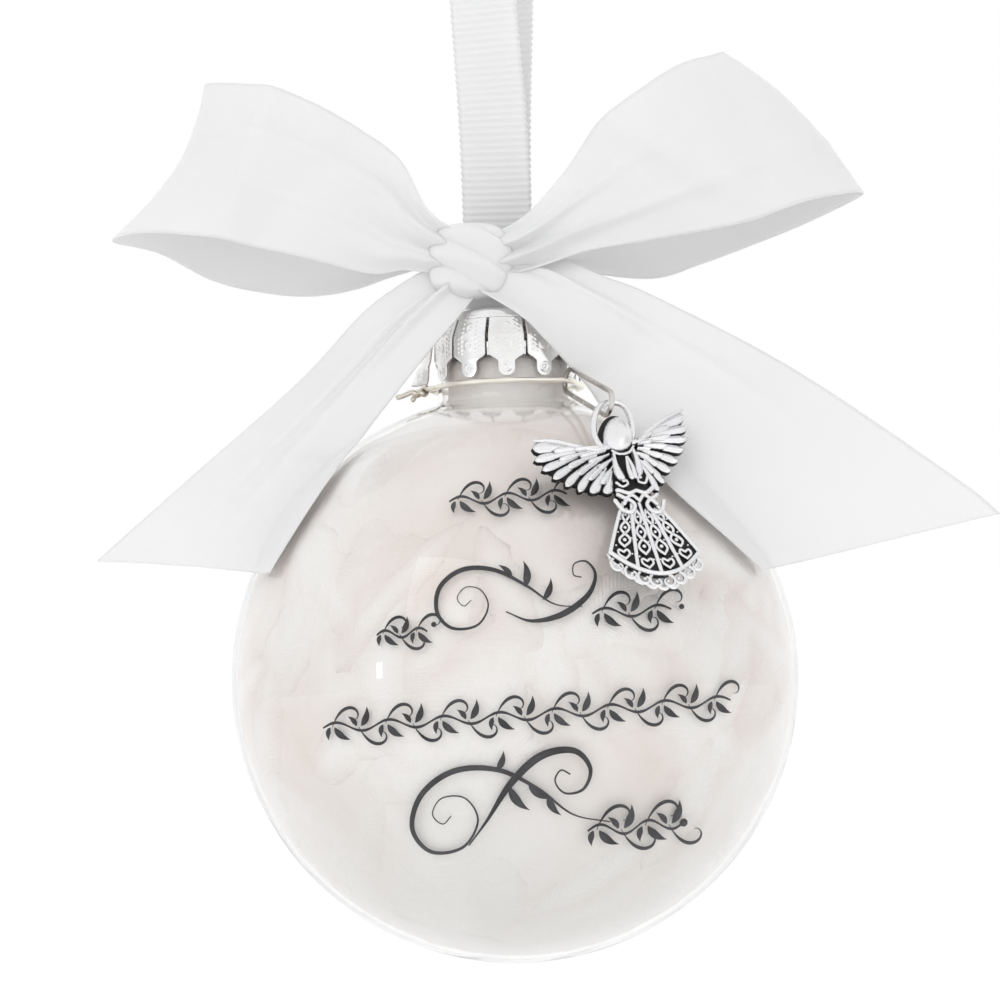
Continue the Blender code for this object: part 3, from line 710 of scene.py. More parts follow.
class Finishes:
    """Every finish of the ornament, made once."""

    def __init__(self) -> None:
        """Make the shared groups and then the materials."""
        groups = Groups()
        self.glass = GlassFinish("blown_glass", (1.0, 1.0, 1.0), 0.02).make(groups)
        white = {"colour": (0.775, 0.755, 0.735), "shade": (0.665, 0.585, 0.54)}
        self.feather = FeatherFinish("feather_barbs", roughness=0.85, **white).make(groups)
        self.down = FeatherFinish("loose_down", roughness=0.9, barb_shade=0.0, barb_rise=0.0, streak=0.0,
                                  **white).make(groups)
        self.cap = MetalFinish("embossed_cap", (0.90, 0.90, 0.90), 0.2, 1.0,
                               tarnish=(0.74, 0.73, 0.72)).make(groups)
        self.clip = MetalFinish("spring_wire", (0.62, 0.62, 0.63), 0.3, 1.0,
                                tarnish=(0.5, 0.49, 0.47)).make(groups)
        self.neck_wire = MetalFinish("champagne_wire", (0.93, 0.90, 0.83), 0.3, 1.0,
                                     tarnish=(0.86, 0.81, 0.71), spread=0.1).make(groups)
        self.ring = MetalFinish("plated_ring", (0.72, 0.71, 0.69), 0.25, 1.0,
                                tarnish=(0.42, 0.39, 0.36)).make(groups)
        self.charm = AntiqueFinish("antique_silver", (0.86, 0.86, 0.87), 0.27, 1.0).make(groups)
        self.satin = ClothFinish("satin_cloth", (0.765, 0.765, 0.767), 0.32,
                                 shade=(0.715, 0.715, 0.72)).make(groups)
        self.ribbed = ClothFinish("ribbed_cloth", (0.77, 0.77, 0.775), 0.7, shade=(0.69, 0.69, 0.70),
                                  width=10.0, along=0.19, across=0.3, sheen=0.2, relief=0.12).make(groups)
        self.ink = InkFinish("printing_ink", (0.018, 0.018, 0.02), 0.45).make(groups)


# ---------------------------------------------------------------- ball

# A flourish of the print: its scrolls, as points in millimetres from the ball's centre with the greatest
# width, and its leaves, as foot, direction in radians, length and greatest width
UPPER_SCROLLS = (
    (((-4.9, 10.2), (-5.9, 9.5), (-6.7, 10.6), (-5.5, 11.9), (-3.6, 11.4), (-2.8, 9.2), (-4.4, 6.9),
      (-7.6, 6.8), (-9.4, 9.0), (-8.8, 12.2), (-5.8, 14.2), (-1.8, 13.9), (2.2, 11.6), (5.6, 9.0),
      (9.2, 8.4)), 0.62),
    (((9.4, 12.2), (8.4, 12.6), (8.6, 14.0), (10.2, 14.2), (11.2, 12.4), (10.0, 9.8), (6.6, 7.6),
      (2.6, 7.0), (-0.6, 8.4)), 0.8))
UPPER_LEAVES = (((2.0, 11.4), 1.3, 3.4, 0.95), ((4.2, 9.6), 0.9, 3.0, 0.8), ((0.4, 12.6), 2.0, 2.4, 0.7))
LOWER_SCROLLS = (
    (((-9.4, -17.2), (-10.6, -18.2), (-11.8, -16.8), (-10.4, -14.8), (-7.4, -15.0), (-6.0, -18.0),
      (-8.2, -21.4), (-12.4, -21.8), (-14.6, -18.6), (-13.0, -14.2), (-8.6, -11.4), (-3.0, -11.6),
      (2.0, -14.4), (6.2, -18.0), (11.0, -19.4)), 0.75),
    (((6.2, -12.8), (5.0, -12.2), (4.2, -13.6), (5.4, -15.2), (7.8, -14.8), (8.8, -12.2), (6.8, -9.8),
      (2.6, -10.2), (-1.4, -13.4), (-4.8, -18.0), (-7.4, -21.2)), 1.0))
LOWER_LEAVES = (((-1.6, -13.8), -1.2, 4.0, 1.1), ((0.8, -13.6), -0.9, 3.6, 0.9),
                ((-3.2, -11.6), 0.9, 2.6, 0.8), ((3.2, -15.4), -1.3, 3.0, 0.9))
# Round dots beside the vines: place and radius in millimetres
PRINT_DOTS = ((21.6, -19.6, 0.55), (-10.2, 7.0, 0.35), (21.9, 8.6, 0.35))


@dataclass
class GlassBall:
    """The blown ball: shell, feathers, down and the printed scrollwork."""

    columns: int = 144
    feather_rows: int = 17
    feather_columns: int = 7
    per_cluster: int = 11
    clusters: int = 10
    seed: int = 23
    feather_length: tuple[float, float] = (17, 34)
    feather_width: tuple[float, float] = (7, 13)
    feather_bend: tuple[float, float] = (-3, 3)
    feather_radius: tuple[float, float] = (39.15, 39.3)
    rim_height: float = 0.4 * MM
    ink_lift: float = 0.05 * MM
    ink_tilt: float = math.radians(2.4)

    def profile(self, inset: float) -> np.ndarray:
        """Outline of the wall from the bottom up: sphere arc, fillet arc, straight neck.

        Args:
            inset: how far inside the outer surface.

        Returns:
            (n, 2) of radius and height above the ball's centre.
        """
        reach = NECK_RADIUS + NECK_FILLET
        polar = np.linspace(math.pi, math.atan2(reach, FILLET_Z), 88)
        sphere = (BALL_RADIUS - inset) * np.stack([np.sin(polar), np.cos(polar)], axis=1)
        turn = np.linspace(math.atan2(FILLET_Z, reach) + math.pi, math.pi, 9)[1:]
        fillet = np.stack([reach + (NECK_FILLET + inset) * np.cos(turn),
                           FILLET_Z + (NECK_FILLET + inset) * np.sin(turn)], axis=1)
        neck = np.array([[NECK_RADIUS - inset, NECK_TOP_Z - self.rim_height]])
        return np.vstack([sphere, fillet, neck])

    def build_shell(self, finishes: Finishes) -> None:
        """The outer wall, the rounded rim and the inner wall as one closed surface.

        Args:
            finishes: the materials.
        """
        bend = np.linspace(0, math.pi, 7)[1:-1]
        middle = NECK_RADIUS - GLASS_WALL / 2
        rim = np.stack([middle + GLASS_WALL / 2 * np.cos(bend),
                        NECK_TOP_Z - self.rim_height + self.rim_height * np.sin(bend)], axis=1)
        outline = np.vstack([self.profile(0.0), rim, self.profile(GLASS_WALL)[::-1]])
        outline[np.abs(outline[:, 0]) < 1e-7, 0] = 0.0
        shell = Patchwork()
        shell.add(turned(outline, self.columns))
        shell.make("blown_ball", Body.BALL, Slot.GLASS, finishes.glass, stands_for=("glass_ball",))

    def feather(self, start: np.ndarray, heading: float, length: float, width: float, bend: float,
                radius: float, phase: float) -> tuple[np.ndarray, np.ndarray]:
        """One feather against the glass.

        The quill is a great circle from the start along the heading. A point is moved sideways by
        t × half width(s) + bend × s², and outwards by a shallow V and a small wave.

        Args:
            start: direction from the ball's centre to the quill's foot.
            heading: angle of the quill from straight up.
            length: along the quill.
            width: at the widest.
            bend: sideways drift at the tip.
            radius: distance from the ball's centre.
            phase: where its waves start.

        Returns:
            The grid of points, and its flat places.
        """
        east = unit(np.cross(UP, start))
        north = np.cross(start, east)
        ahead = math.cos(heading) * north + math.sin(heading) * east
        side = np.cross(start, ahead)
        s = np.linspace(0, 1, self.feather_rows)[:, None]
        t = np.linspace(-1, 1, self.feather_columns)[None, :]
        half = width / 2 * (0.03 + 0.97 * np.sin(math.pi * s**0.72) ** 0.62)
        ragged = 1 + 0.16 * np.abs(t) * np.sin(2 * math.pi * (4.3 * s + phase)) * s
        turn = s * length / radius
        across = t * half * ragged + bend * s**2 + 0.8 * MM * np.sin(3 * s + phase)
        out = radius - 0.5 * MM * np.abs(t) ** 2.5 - 0.45 * MM * np.abs(2 * s - 1) ** 6
        out = out + 0.05 * MM * np.sin(5 * s + 2 * t + phase)
        quill = np.cos(turn)[..., None] * start + np.sin(turn)[..., None] * ahead
        grid = unit(quill + side * (across / radius)[..., None]) * out[..., None] + BALL_CENTRE
        laid = np.stack(np.broadcast_arrays(s, (t + 1) / 2), axis=-1)
        return grid, laid

    def build_feathers(self, finishes: Finishes) -> None:
        """Clusters of feathers, each standing for one of the plain leaf shapes.

        Args:
            finishes: the materials.
        """
        draw = np.random.default_rng(self.seed)
        for cluster in range(self.clusters):
            tuft = Patchwork()
            for _ in range(self.per_cluster):
                azimuth = 2 * math.pi * (cluster + draw.uniform(-0.2, 1.2)) / self.clusters
                height = draw.uniform(-0.97, 0.9)
                level = math.sqrt(1 - height**2)
                start = np.array([level * math.sin(azimuth), -level * math.cos(azimuth), height])
                heading = draw.uniform(-1.5, 1.5) + (math.pi if height > 0.1 else 0.0)
                grid, laid = self.feather(start, heading, draw.uniform(*self.feather_length) * MM,
                                          draw.uniform(*self.feather_width) * MM,
                                          draw.uniform(*self.feather_bend) * MM,
                                          draw.uniform(*self.feather_radius) * MM, draw.uniform(0, 6))
                polar_sine = np.linalg.norm((grid - BALL_CENTRE)[..., :2], axis=-1) / BALL_RADIUS
                if (grid[..., 2] - BALL_CENTRE[2]).max() > 35.5 * MM and polar_sine.min() < 0.3:
                    grid = self.feather(start, heading, 9 * MM, 6 * MM, 0.0, 39.1 * MM, 0.0)[0]
                tuft.add(grid, laid, draw.uniform(0.25, 1.0))
            tuft.make(f"feathers_{cluster + 1:02d}", Body.BALL, Slot.FEATHER, finishes.feather, closed=False,
                      wall=0.05 * MM, stands_for=(f"feather_{cluster + 1:02d}",))

    def build_down(self, finishes: Finishes) -> None:
        """The loose down in the middle: a ball and a neck plug whose skin rises and falls in soft tufts.

        The radius is multiplied by 1 + a sum of sine waves of the direction, and the neck plug has an
        upright groove on each side for the spring clip's leg.

        Args:
            finishes: the materials.
        """
        polar = np.linspace(math.pi, 0.277, 90)
        ball = 38.95 * np.stack([np.sin(polar), np.cos(polar)], axis=1)
        ball[0, 0] = 0.0
        neck = [(10.6, 37.4), (9.7, 38.1), (9.0, 38.9), (8.75, 40.2), (8.75, 42.0), (8.7, 43.8), (8.1, 44.8),
                (5.0, 45.3), (0.0, 45.4)]
        outline = np.vstack([ball[:-1], smooth_line(np.array(neck), 40)])
        azimuth = np.linspace(0, 2 * math.pi, 193)
        from_leg = np.arccos(np.clip(np.abs(np.sin(azimuth)), 0, 1))
        groove = 2.1 * ease(outline[:, 1], 36.9, 38.4)[:, None] * np.exp(-((from_leg / 0.17) ** 2))[None, :]
        radius = np.maximum(outline[:, :1] - groove, 0.0)
        radius = np.where(outline[:, :1] < 3.0, outline[:, :1], radius)
        grid = around(azimuth[None, :], radius * MM, outline[:, 1:] * MM) - BALL_CENTRE
        x, y, z = (grid / MM)[..., 0], (grid / MM)[..., 1], (grid / MM)[..., 2]
        tufts = 0.35 * np.sin(0.55 * x + 1.3 * np.sin(0.31 * z)) * np.sin(0.47 * y + 0.6 * z)
        tufts = tufts + 0.25 * np.sin(1.1 * z + 1.7 * np.sin(0.5 * x + 0.4 * y)) * np.cos(0.8 * x - 0.9 * y)
        flat = np.where(z > 36.5, 0.1, 1.0)
        grid = grid * (1 + 0.006 * tufts * flat)[..., None] + BALL_CENTRE
        down = Patchwork()
        down.add(grid, tone=0.75)
        down.make("loose_down", Body.BALL, Slot.FEATHER, finishes.down)

    def stroke(self, line: np.ndarray, width: np.ndarray) -> np.ndarray:
        """A printed stroke: a strip about a line in the front plane, laid on the sphere.

        Seen from the front it is the flat line turned by the print's tilt.

        Args:
            line: (n, 2) middle line in millimetres from the ball's centre, level with the print.
            width: full width at each point, in millimetres.

        Returns:
            (n, 3, 3) grid.
        """
        ahead = unit(np.gradient(line, axis=0))
        side = np.stack([-ahead[:, 1], ahead[:, 0]], axis=1)
        offset = np.array([-0.5, 0.0, 0.5])[None, :, None]
        flat = (line[:, None, :] + side[:, None, :] * offset * width[:, None, None]) * MM
        cosine, sine = math.cos(self.ink_tilt), math.sin(self.ink_tilt)
        x = flat[..., 0] * cosine - flat[..., 1] * sine
        z = flat[..., 0] * sine + flat[..., 1] * cosine
        return self.on_glass(x, z)

    def on_glass(self, x: np.ndarray, z: np.ndarray) -> np.ndarray:
        """Points of the front plane moved back to the sphere: y = −√(R² − x² − z²)."""
        reach = BALL_RADIUS + self.ink_lift
        return BALL_CENTRE + np.stack([x, -np.sqrt(reach**2 - x**2 - z**2), z], axis=-1)

    def curl(self, start: tuple[float, float], heading: float, size: float, turns: tuple[float, float],
             weight: float, count: int = 60) -> tuple[np.ndarray, np.ndarray]:
        """A scroll: its direction turns at a rate that runs from the first to the second value of turns.

        Args:
            start: where it starts, in millimetres.
            heading: direction there, in radians.
            size: its length, in millimetres.
            turns: how many whole turns per length it makes at its start and at its end.
            weight: greatest width of the stroke, in millimetres.
            count: points along it.

        Returns:
            The line and the width at each point.
        """
        s = np.linspace(0, 1, count)
        angle = heading + 2 * math.pi * (turns[0] * s + (turns[1] - turns[0]) * s**3 / 3)
        step = size / (count - 1)
        line = np.array(start) + np.cumsum(np.stack([np.cos(angle), np.sin(angle)], 1), axis=0) * step
        width = weight * (0.16 + 0.84 * np.sin(math.pi * s) ** 1.6)
        return line, width

    def flourish(self, scrolls: tuple, leaves: tuple) -> list[tuple]:
        """The lines and widths of a flourish's scrolls, then of its leaves."""
        return [self.scroll(*scroll) for scroll in scrolls] + [self.leaf(*leaf) for leaf in leaves]

    def scroll(self, points: tuple, weight: float) -> tuple[np.ndarray, np.ndarray]:
        """A flourish: a smooth curve through the points, widest in its middle and fine at its ends."""
        s = np.linspace(0, 1, 150)
        return smooth_line(np.array(points), 150), weight * (0.2 + 0.8 * np.sin(math.pi * s**1.3) ** 2)

    def leaf(self, start: tuple[float, float], heading: float, size: float, weight: float) -> tuple:
        """A leaf: a slightly bent stroke, fat in its middle and pointed at its ends.

        Args:
            start: its foot, in millimetres.
            heading: direction, in radians.
            size: its length, in millimetres.
            weight: greatest width, in millimetres.

        Returns:
            The line and the width at each point.
        """
        s = np.linspace(0, 1, 16)
        angle = heading + 0.5 * (s - 0.5)
        line = np.array(start) + np.stack([np.cos(angle), np.sin(angle)], 1) * (s * size)[:, None]
        return line, weight * np.sin(math.pi * s**0.8) ** 1.2 + 0.04

    def vine(self, start: tuple[float, float], length: float, size: float, steps: int) -> list[tuple]:
        """A running vine: a waved stem with a curl and a leaf at each half wave.

        Args:
            start: its left end, in millimetres.
            length: its length, in millimetres.
            size: the height of its leaves and curls, in millimetres.
            steps: how many half waves it has.

        Returns:
            Lines with their widths.
        """
        s = np.linspace(0, 1, 24 * steps)
        wave = 0.22 * size * np.sin(math.pi * steps * s)
        stem = np.stack([start[0] + length * s, start[1] + wave], axis=1)
        strokes = [(stem, 0.24 + 0.14 * np.sin(math.pi * steps * s) ** 2)]
        for step in range(steps):
            foot = (start[0] + length * (step + 0.35) / steps, start[1])
            way = 1 if step % 2 == 0 else -1
            turns = (-way * 0.12, -way * 1.9)
            strokes.append(self.curl(foot, way * 1.15, 2.3 * size, turns, 0.07 * size + 0.24))
            strokes.append(self.leaf((foot[0] + 0.12 * size, foot[1]), -way * 0.95, 0.95 * size, 0.3 * size))
            strokes.append(self.leaf((foot[0] - 0.1 * size, foot[1]), -way * 2.0, 0.6 * size, 0.22 * size))
        return strokes

    def build_print(self, finishes: Finishes) -> None:
        """Four rows of generic scrollwork in black ink, with no letters.

        Args:
            finishes: the materials.
        """
        strokes = self.vine((-7.0, 23.4), 15.4, 2.7, 5)
        strokes += self.vine((-17.4, 6.6), 6.6, 2.4, 3)
        strokes += self.flourish(UPPER_SCROLLS, UPPER_LEAVES)
        strokes += self.vine((10.4, 7.4), 10.4, 2.9, 3)
        strokes += self.vine((-25.4, -4.9), 53.4, 2.75, 15)
        strokes += self.flourish(LOWER_SCROLLS, LOWER_LEAVES)
        strokes += self.vine((8.0, -20.4), 12.8, 3.4, 4)
        printed = Patchwork()
        for line, width in strokes:
            printed.add(self.stroke(line, width))
        dot = np.linspace(0, 2 * math.pi, 15)
        circle = np.stack([np.cos(dot), np.sin(dot)], axis=1)
        for x, z, radius in PRINT_DOTS:
            disc = circle[None] * np.array([0.0, 1.0])[:, None, None] * radius
            flat = (disc + np.array([x, z])) * MM
            printed.add(self.on_glass(flat[..., 0], flat[..., 1]))
        printed.make("printed_scrollwork", Body.BALL, Slot.GLASS, finishes.ink, closed=False, wall=0.03 * MM)

    def build(self, finishes: Finishes) -> None:
        """Build all of the ball's pieces.

        Args:
            finishes: the materials.
        """
        self.build_shell(finishes)
        self.build_down(finishes)
        self.build_feathers(finishes)
        self.build_print(finishes)


# ---------------------------------------------------------------- cap, clip and wires


@dataclass
class CrownCap:
    """The stamped cap: a dished top and twelve embossed petals."""

    petals: int = 12
    wall: float = 0.3 * MM
    hole: float = 2.0 * MM
    top_radius: float = 8.9 * MM
    edge_round: float = 0.9 * MM
    slit: float = 0.45 * MM
    slit_start: float = 1.4 * MM
    tab_width: float = 2.3 * MM
    tab_length: float = 2.5 * MM
    bent_petal: int = 9
    petal_bend: float = 2.1 * MM
    emboss: float = 0.13 * MM

    def skirt_radius(self, height: np.ndarray) -> np.ndarray:
        """Radius of the petals' middle surface at a height above the ball's centre."""
        hug = NECK_RADIUS + 0.35 * MM + self.wall / 2
        shoulder = TAB_TIP_Z + self.tab_length
        neck_level = max(NECK_TOP_Z, shoulder) + self.wall + 0.35 * MM
        levels = [TAB_TIP_Z, TAB_TIP_Z + self.tab_length / 2, shoulder, neck_level,
                  CAP_TOP_Z - self.slit_start]
        radii = [hug, hug + 0.05 * MM, hug + 0.1 * MM, hug,
                 self.top_radius + 0.2 * (hug - self.top_radius)]
        return np.interp(height, levels, radii)

    def half_width(self, drop: np.ndarray) -> np.ndarray:
        """Half width of a petal at a distance above its tip: round tab, sloping shoulder, straight sides.

        Args:
            drop: height above the tab's tip, in metres.

        Returns:
            Half the petal's width.
        """
        full = 2 * math.pi * PETAL_ROOT / self.petals / 2 - self.slit / 2
        tab = self.tab_width / 2
        rounded = tab * np.sqrt(np.clip(1 - (1 - np.clip(drop / tab, 0, 1)) ** 2, 0, 1))
        return rounded + (full - tab) * ease(drop, self.tab_length - 0.5 * MM, self.tab_length + 0.7 * MM)

    def relief(self, x: np.ndarray, drop: np.ndarray) -> np.ndarray:
        """Stamped pattern: rows of beads near both edges, and small rings down the middle.

        Args:
            x: distance across the petal from its middle, in metres.
            drop: height above the tab's tip, in metres.

        Returns:
            Height of the stamping.
        """
        x, drop = x / MM, drop / MM
        pitch, bead_size, ring_size, ring_wall = 0.62, 0.16, 0.52, 0.13
        along = (drop - 3.6) / pitch
        beads = np.zeros_like(x)
        for row in (-1.75, 1.75, -1.25, 1.25):
            shift = 0.5 if abs(row) < 1.5 else 0.0
            gap = (along + shift) - np.round(along + shift)
            near = np.exp(-(((np.abs(x - row)) / bead_size) ** 2) - (gap * pitch / bead_size) ** 2)
            beads = beads + near * (drop > 3.3) * (drop < 8.6)
        rings = np.zeros_like(x)
        for level in (1.25, 4.5, 6.9):
            away = np.hypot(x, drop - level)
            rings = rings + np.exp(-(((away - ring_size) / ring_wall) ** 2))
            rings = rings + 0.8 * np.exp(-((away / bead_size) ** 2))
        return self.emboss * (beads + rings)

    def build_cap(self, finishes: Finishes) -> None:
        """Turn the top and hang the petals from it, then give both the sheet's thickness.

        Args:
            finishes: the materials.
        """
        top = CAP_TOP_Z - self.wall / 2
        flat = self.top_radius - self.edge_round
        bend = np.linspace(math.pi / 2, 0.25, 7)
        outline = [(self.hole, top - 0.15 * MM), (self.hole + 0.4 * MM, top), (flat * 0.6, top)]
        outline += [(flat + self.edge_round * math.cos(turn), top - self.edge_round * (1 - math.sin(turn)))
                    for turn in bend]
        start = top - self.slit_start
        outline.append((float(self.skirt_radius(np.array(start))), start))
        rolled = smooth_line(np.array(outline), 26)
        cap = Patchwork()
        cap.add(turned(rolled, 240))
        share = np.linspace(0, 1, 84)[:, None]
        side = np.linspace(-1, 1, 34)[None, :]
        drop = (start + 0.02 * MM - TAB_TIP_Z) * (1 - share)
        x = side * self.half_width(drop)
        for petal in range(self.petals):
            radius = self.skirt_radius(drop + TAB_TIP_Z) + self.relief(x, drop + 0 * x)
            radius = radius + 0.1 * MM * (np.abs(side) ** 6) * (drop > self.tab_length)
            if petal == self.bent_petal:
                share_down = (start - drop - TAB_TIP_Z) / (start - TAB_TIP_Z)
                radius = radius + self.petal_bend * share_down * (1 - 0.55 * side)
            azimuth = 2 * math.pi * petal / self.petals + x / PETAL_ROOT
            cap.add(around(azimuth, radius, drop + TAB_TIP_Z))
        piece = cap.make("crown_cap", Body.CAP, Slot.CAP, finishes.cap, closed=False, wall=0.26 * MM,
                         stands_for=("cap",))
        piece.modifiers["wall"].use_even_offset = False

    def build_clip(self, finishes: Finishes) -> None:
        """The spring clip: legs in the neck, a narrow waist and the wide eye above the cap.

        Args:
            finishes: the materials.
        """
        leg_x = NECK_RADIUS - 2.05 * MM
        side_x, eye_z, waist = 6.6 * MM, CAP_TOP_Z + 8.0 * MM, 1.1 * MM
        half = [(leg_x - 0.3 * MM, CAP_TOP_Z - 14.5 * MM), (leg_x, CAP_TOP_Z - 10.2 * MM),
                (leg_x - 0.6 * MM, CAP_TOP_Z - 6.5 * MM), (waist + 0.9 * MM, CAP_TOP_Z - 2.5 * MM),
                (waist, CAP_TOP_Z), (waist, CAP_TOP_Z + 2.6 * MM), (waist + 0.7 * MM, CAP_TOP_Z + 3.4 * MM),
                (side_x - 0.8 * MM, eye_z - 2.6 * MM), (side_x, eye_z - 1.6 * MM),
                (side_x - 0.05 * MM, eye_z - 0.7 * MM), (side_x - 0.9 * MM, eye_z),
                (side_x - 2.4 * MM, eye_z)]
        path = np.array([(x, z) for x, z in half] + [(-x, z) for x, z in half[::-1]])
        line = smooth_line(path, 220)
        points = BALL_CENTRE + np.stack([line[:, 0], 0 * line[:, 0], line[:, 1]], axis=1)
        clip = Patchwork()
        clip.add(tube(points, 0.4 * MM, 12, np.array([0.0, 1.0, 0.0])))
        clip.make("spring_clip", Body.CAP, Slot.CLIP, finishes.clip, stands_for=("hanger_clip",))

    def build(self, finishes: Finishes) -> None:
        """Build the cap and its clip.

        Args:
            finishes: the materials.
        """
        self.build_cap(finishes)
        self.build_clip(finishes)


@dataclass
class NeckWire:
    """The wire round the neck, its ends twisted together at the left."""

    end_azimuth: float = math.radians(-84)
    reach: float = 4.3 * MM
    drop: float = 1.1 * MM
    stand_off: float = 0.75 * MM
    twist_radius: float = 0.43 * MM
    twist_turns: float = 1.1

    def build(self, finishes: Finishes) -> None:
        """One wire: a twisted end, once round the neck with a bow at the ring, the other end.

        In the twist, each end runs outwards as a helix about their shared middle line.

        Args:
            finishes: the materials.
        """
        collar = NECK_RADIUS + 0.35 * MM + WIRE_RADIUS
        azimuth = np.linspace(self.end_azimuth + 0.14, self.end_azimuth + 2 * math.pi - 0.14, 150)
        bow = np.exp(-(((azimuth - RING_AZIMUTH) / 0.2) ** 2))
        loop = around(azimuth, collar + (RING_SEAT - collar) * bow, WIRE_Z)
        out = around(np.array(self.end_azimuth), np.array(1.0), np.array(0.0)) - BALL_CENTRE
        side = np.cross(UP, out)
        ends = []
        for phase, length in ((0.0, self.reach), (math.pi, 0.5 * self.reach)):
            s = np.linspace(0, 1, 40)
            turn = phase + 2 * math.pi * self.twist_turns * np.clip(s * length / (0.5 * self.reach), 0, 1)
            spin = self.twist_radius * (1 - 0.7 * ease(s * length / self.reach, 0.5, 0.9))
            away = collar + self.stand_off + s * length
            middle = around(np.array(self.end_azimuth), away, WIRE_Z - self.drop * s)
            ends.append(middle + spin[:, None] * (np.cos(turn)[:, None] * side + np.sin(turn)[:, None] * UP))
        path = np.vstack([ends[0][::-1][::3], loop[1:-1:3], ends[1][::3]])
        wire = Patchwork()
        wire.add(tube(smooth_line(path, 420), WIRE_RADIUS, 12))
        wire.make("champagne_collar", Body.WIRE, Slot.NECK_WIRE, finishes.neck_wire,
                  stands_for=("neck_wire",))


# ---------------------------------------------------------------- charm

# Tiers of the wing, outer tier first: feet, tips, width, height of the face and bend, in millimetres
WING_TIERS = (
    (((6.2, 0.0), (5.8, -0.7), (5.3, -1.4), (4.8, -2.0), (4.3, -2.7), (3.7, -3.4), (3.1, -4.1), (2.4, -4.8)),
     ((12.4, 1.0), (12.5, -0.6), (11.8, -2.4), (10.6, -4.1), (9.1, -5.7), (7.4, -7.0), (5.6, -8.1),
      (3.9, -8.8)), 1.5, 0.5, 0.1),
    (((4.4, -0.6), (4.1, -1.3), (3.8, -2.0), (3.3, -2.7), (2.8, -3.5), (2.2, -4.2)),
     ((9.4, 0.0), (9.0, -1.5), (8.1, -3.0), (6.9, -4.4), (5.6, -5.6), (4.2, -6.6)), 1.2, 0.78, 0.08),
    (((2.8, -0.9), (2.6, -1.6), (2.3, -2.3), (1.9, -3.0)),
     ((6.3, -0.5), (5.8, -1.8), (5.0, -3.0), (4.0, -4.2)), 1.05, 1.0, 0.05))
# Raised lines of the collar, cuffs, sash and its bow: points, radius and height, in millimetres
BODICE_LINES = (
    (((1.7, -2.0), (0.9, -2.7), (0.0, -2.9)), 0.2, 1.0),
    (((2.5, -7.0), (1.8, -7.9), (0.9, -7.6), (0.9, -7.0), (1.4, -7.0)), 0.2, 0.8),
    (((2.7, -8.6), (1.3, -9.3), (0.0, -8.9)), 0.34, 0.8),
    (((3.6, -10.6), (2.8, -12.2), (1.6, -12.4), (0.9, -11.3), (1.7, -10.4), (2.4, -11.1)), 0.3, 0.85),
    (((2.9, -9.6), (1.9, -10.2), (0.9, -9.7), (0.0, -10.6)), 0.28, 0.85))
MIRROR = np.array([-1, 1])


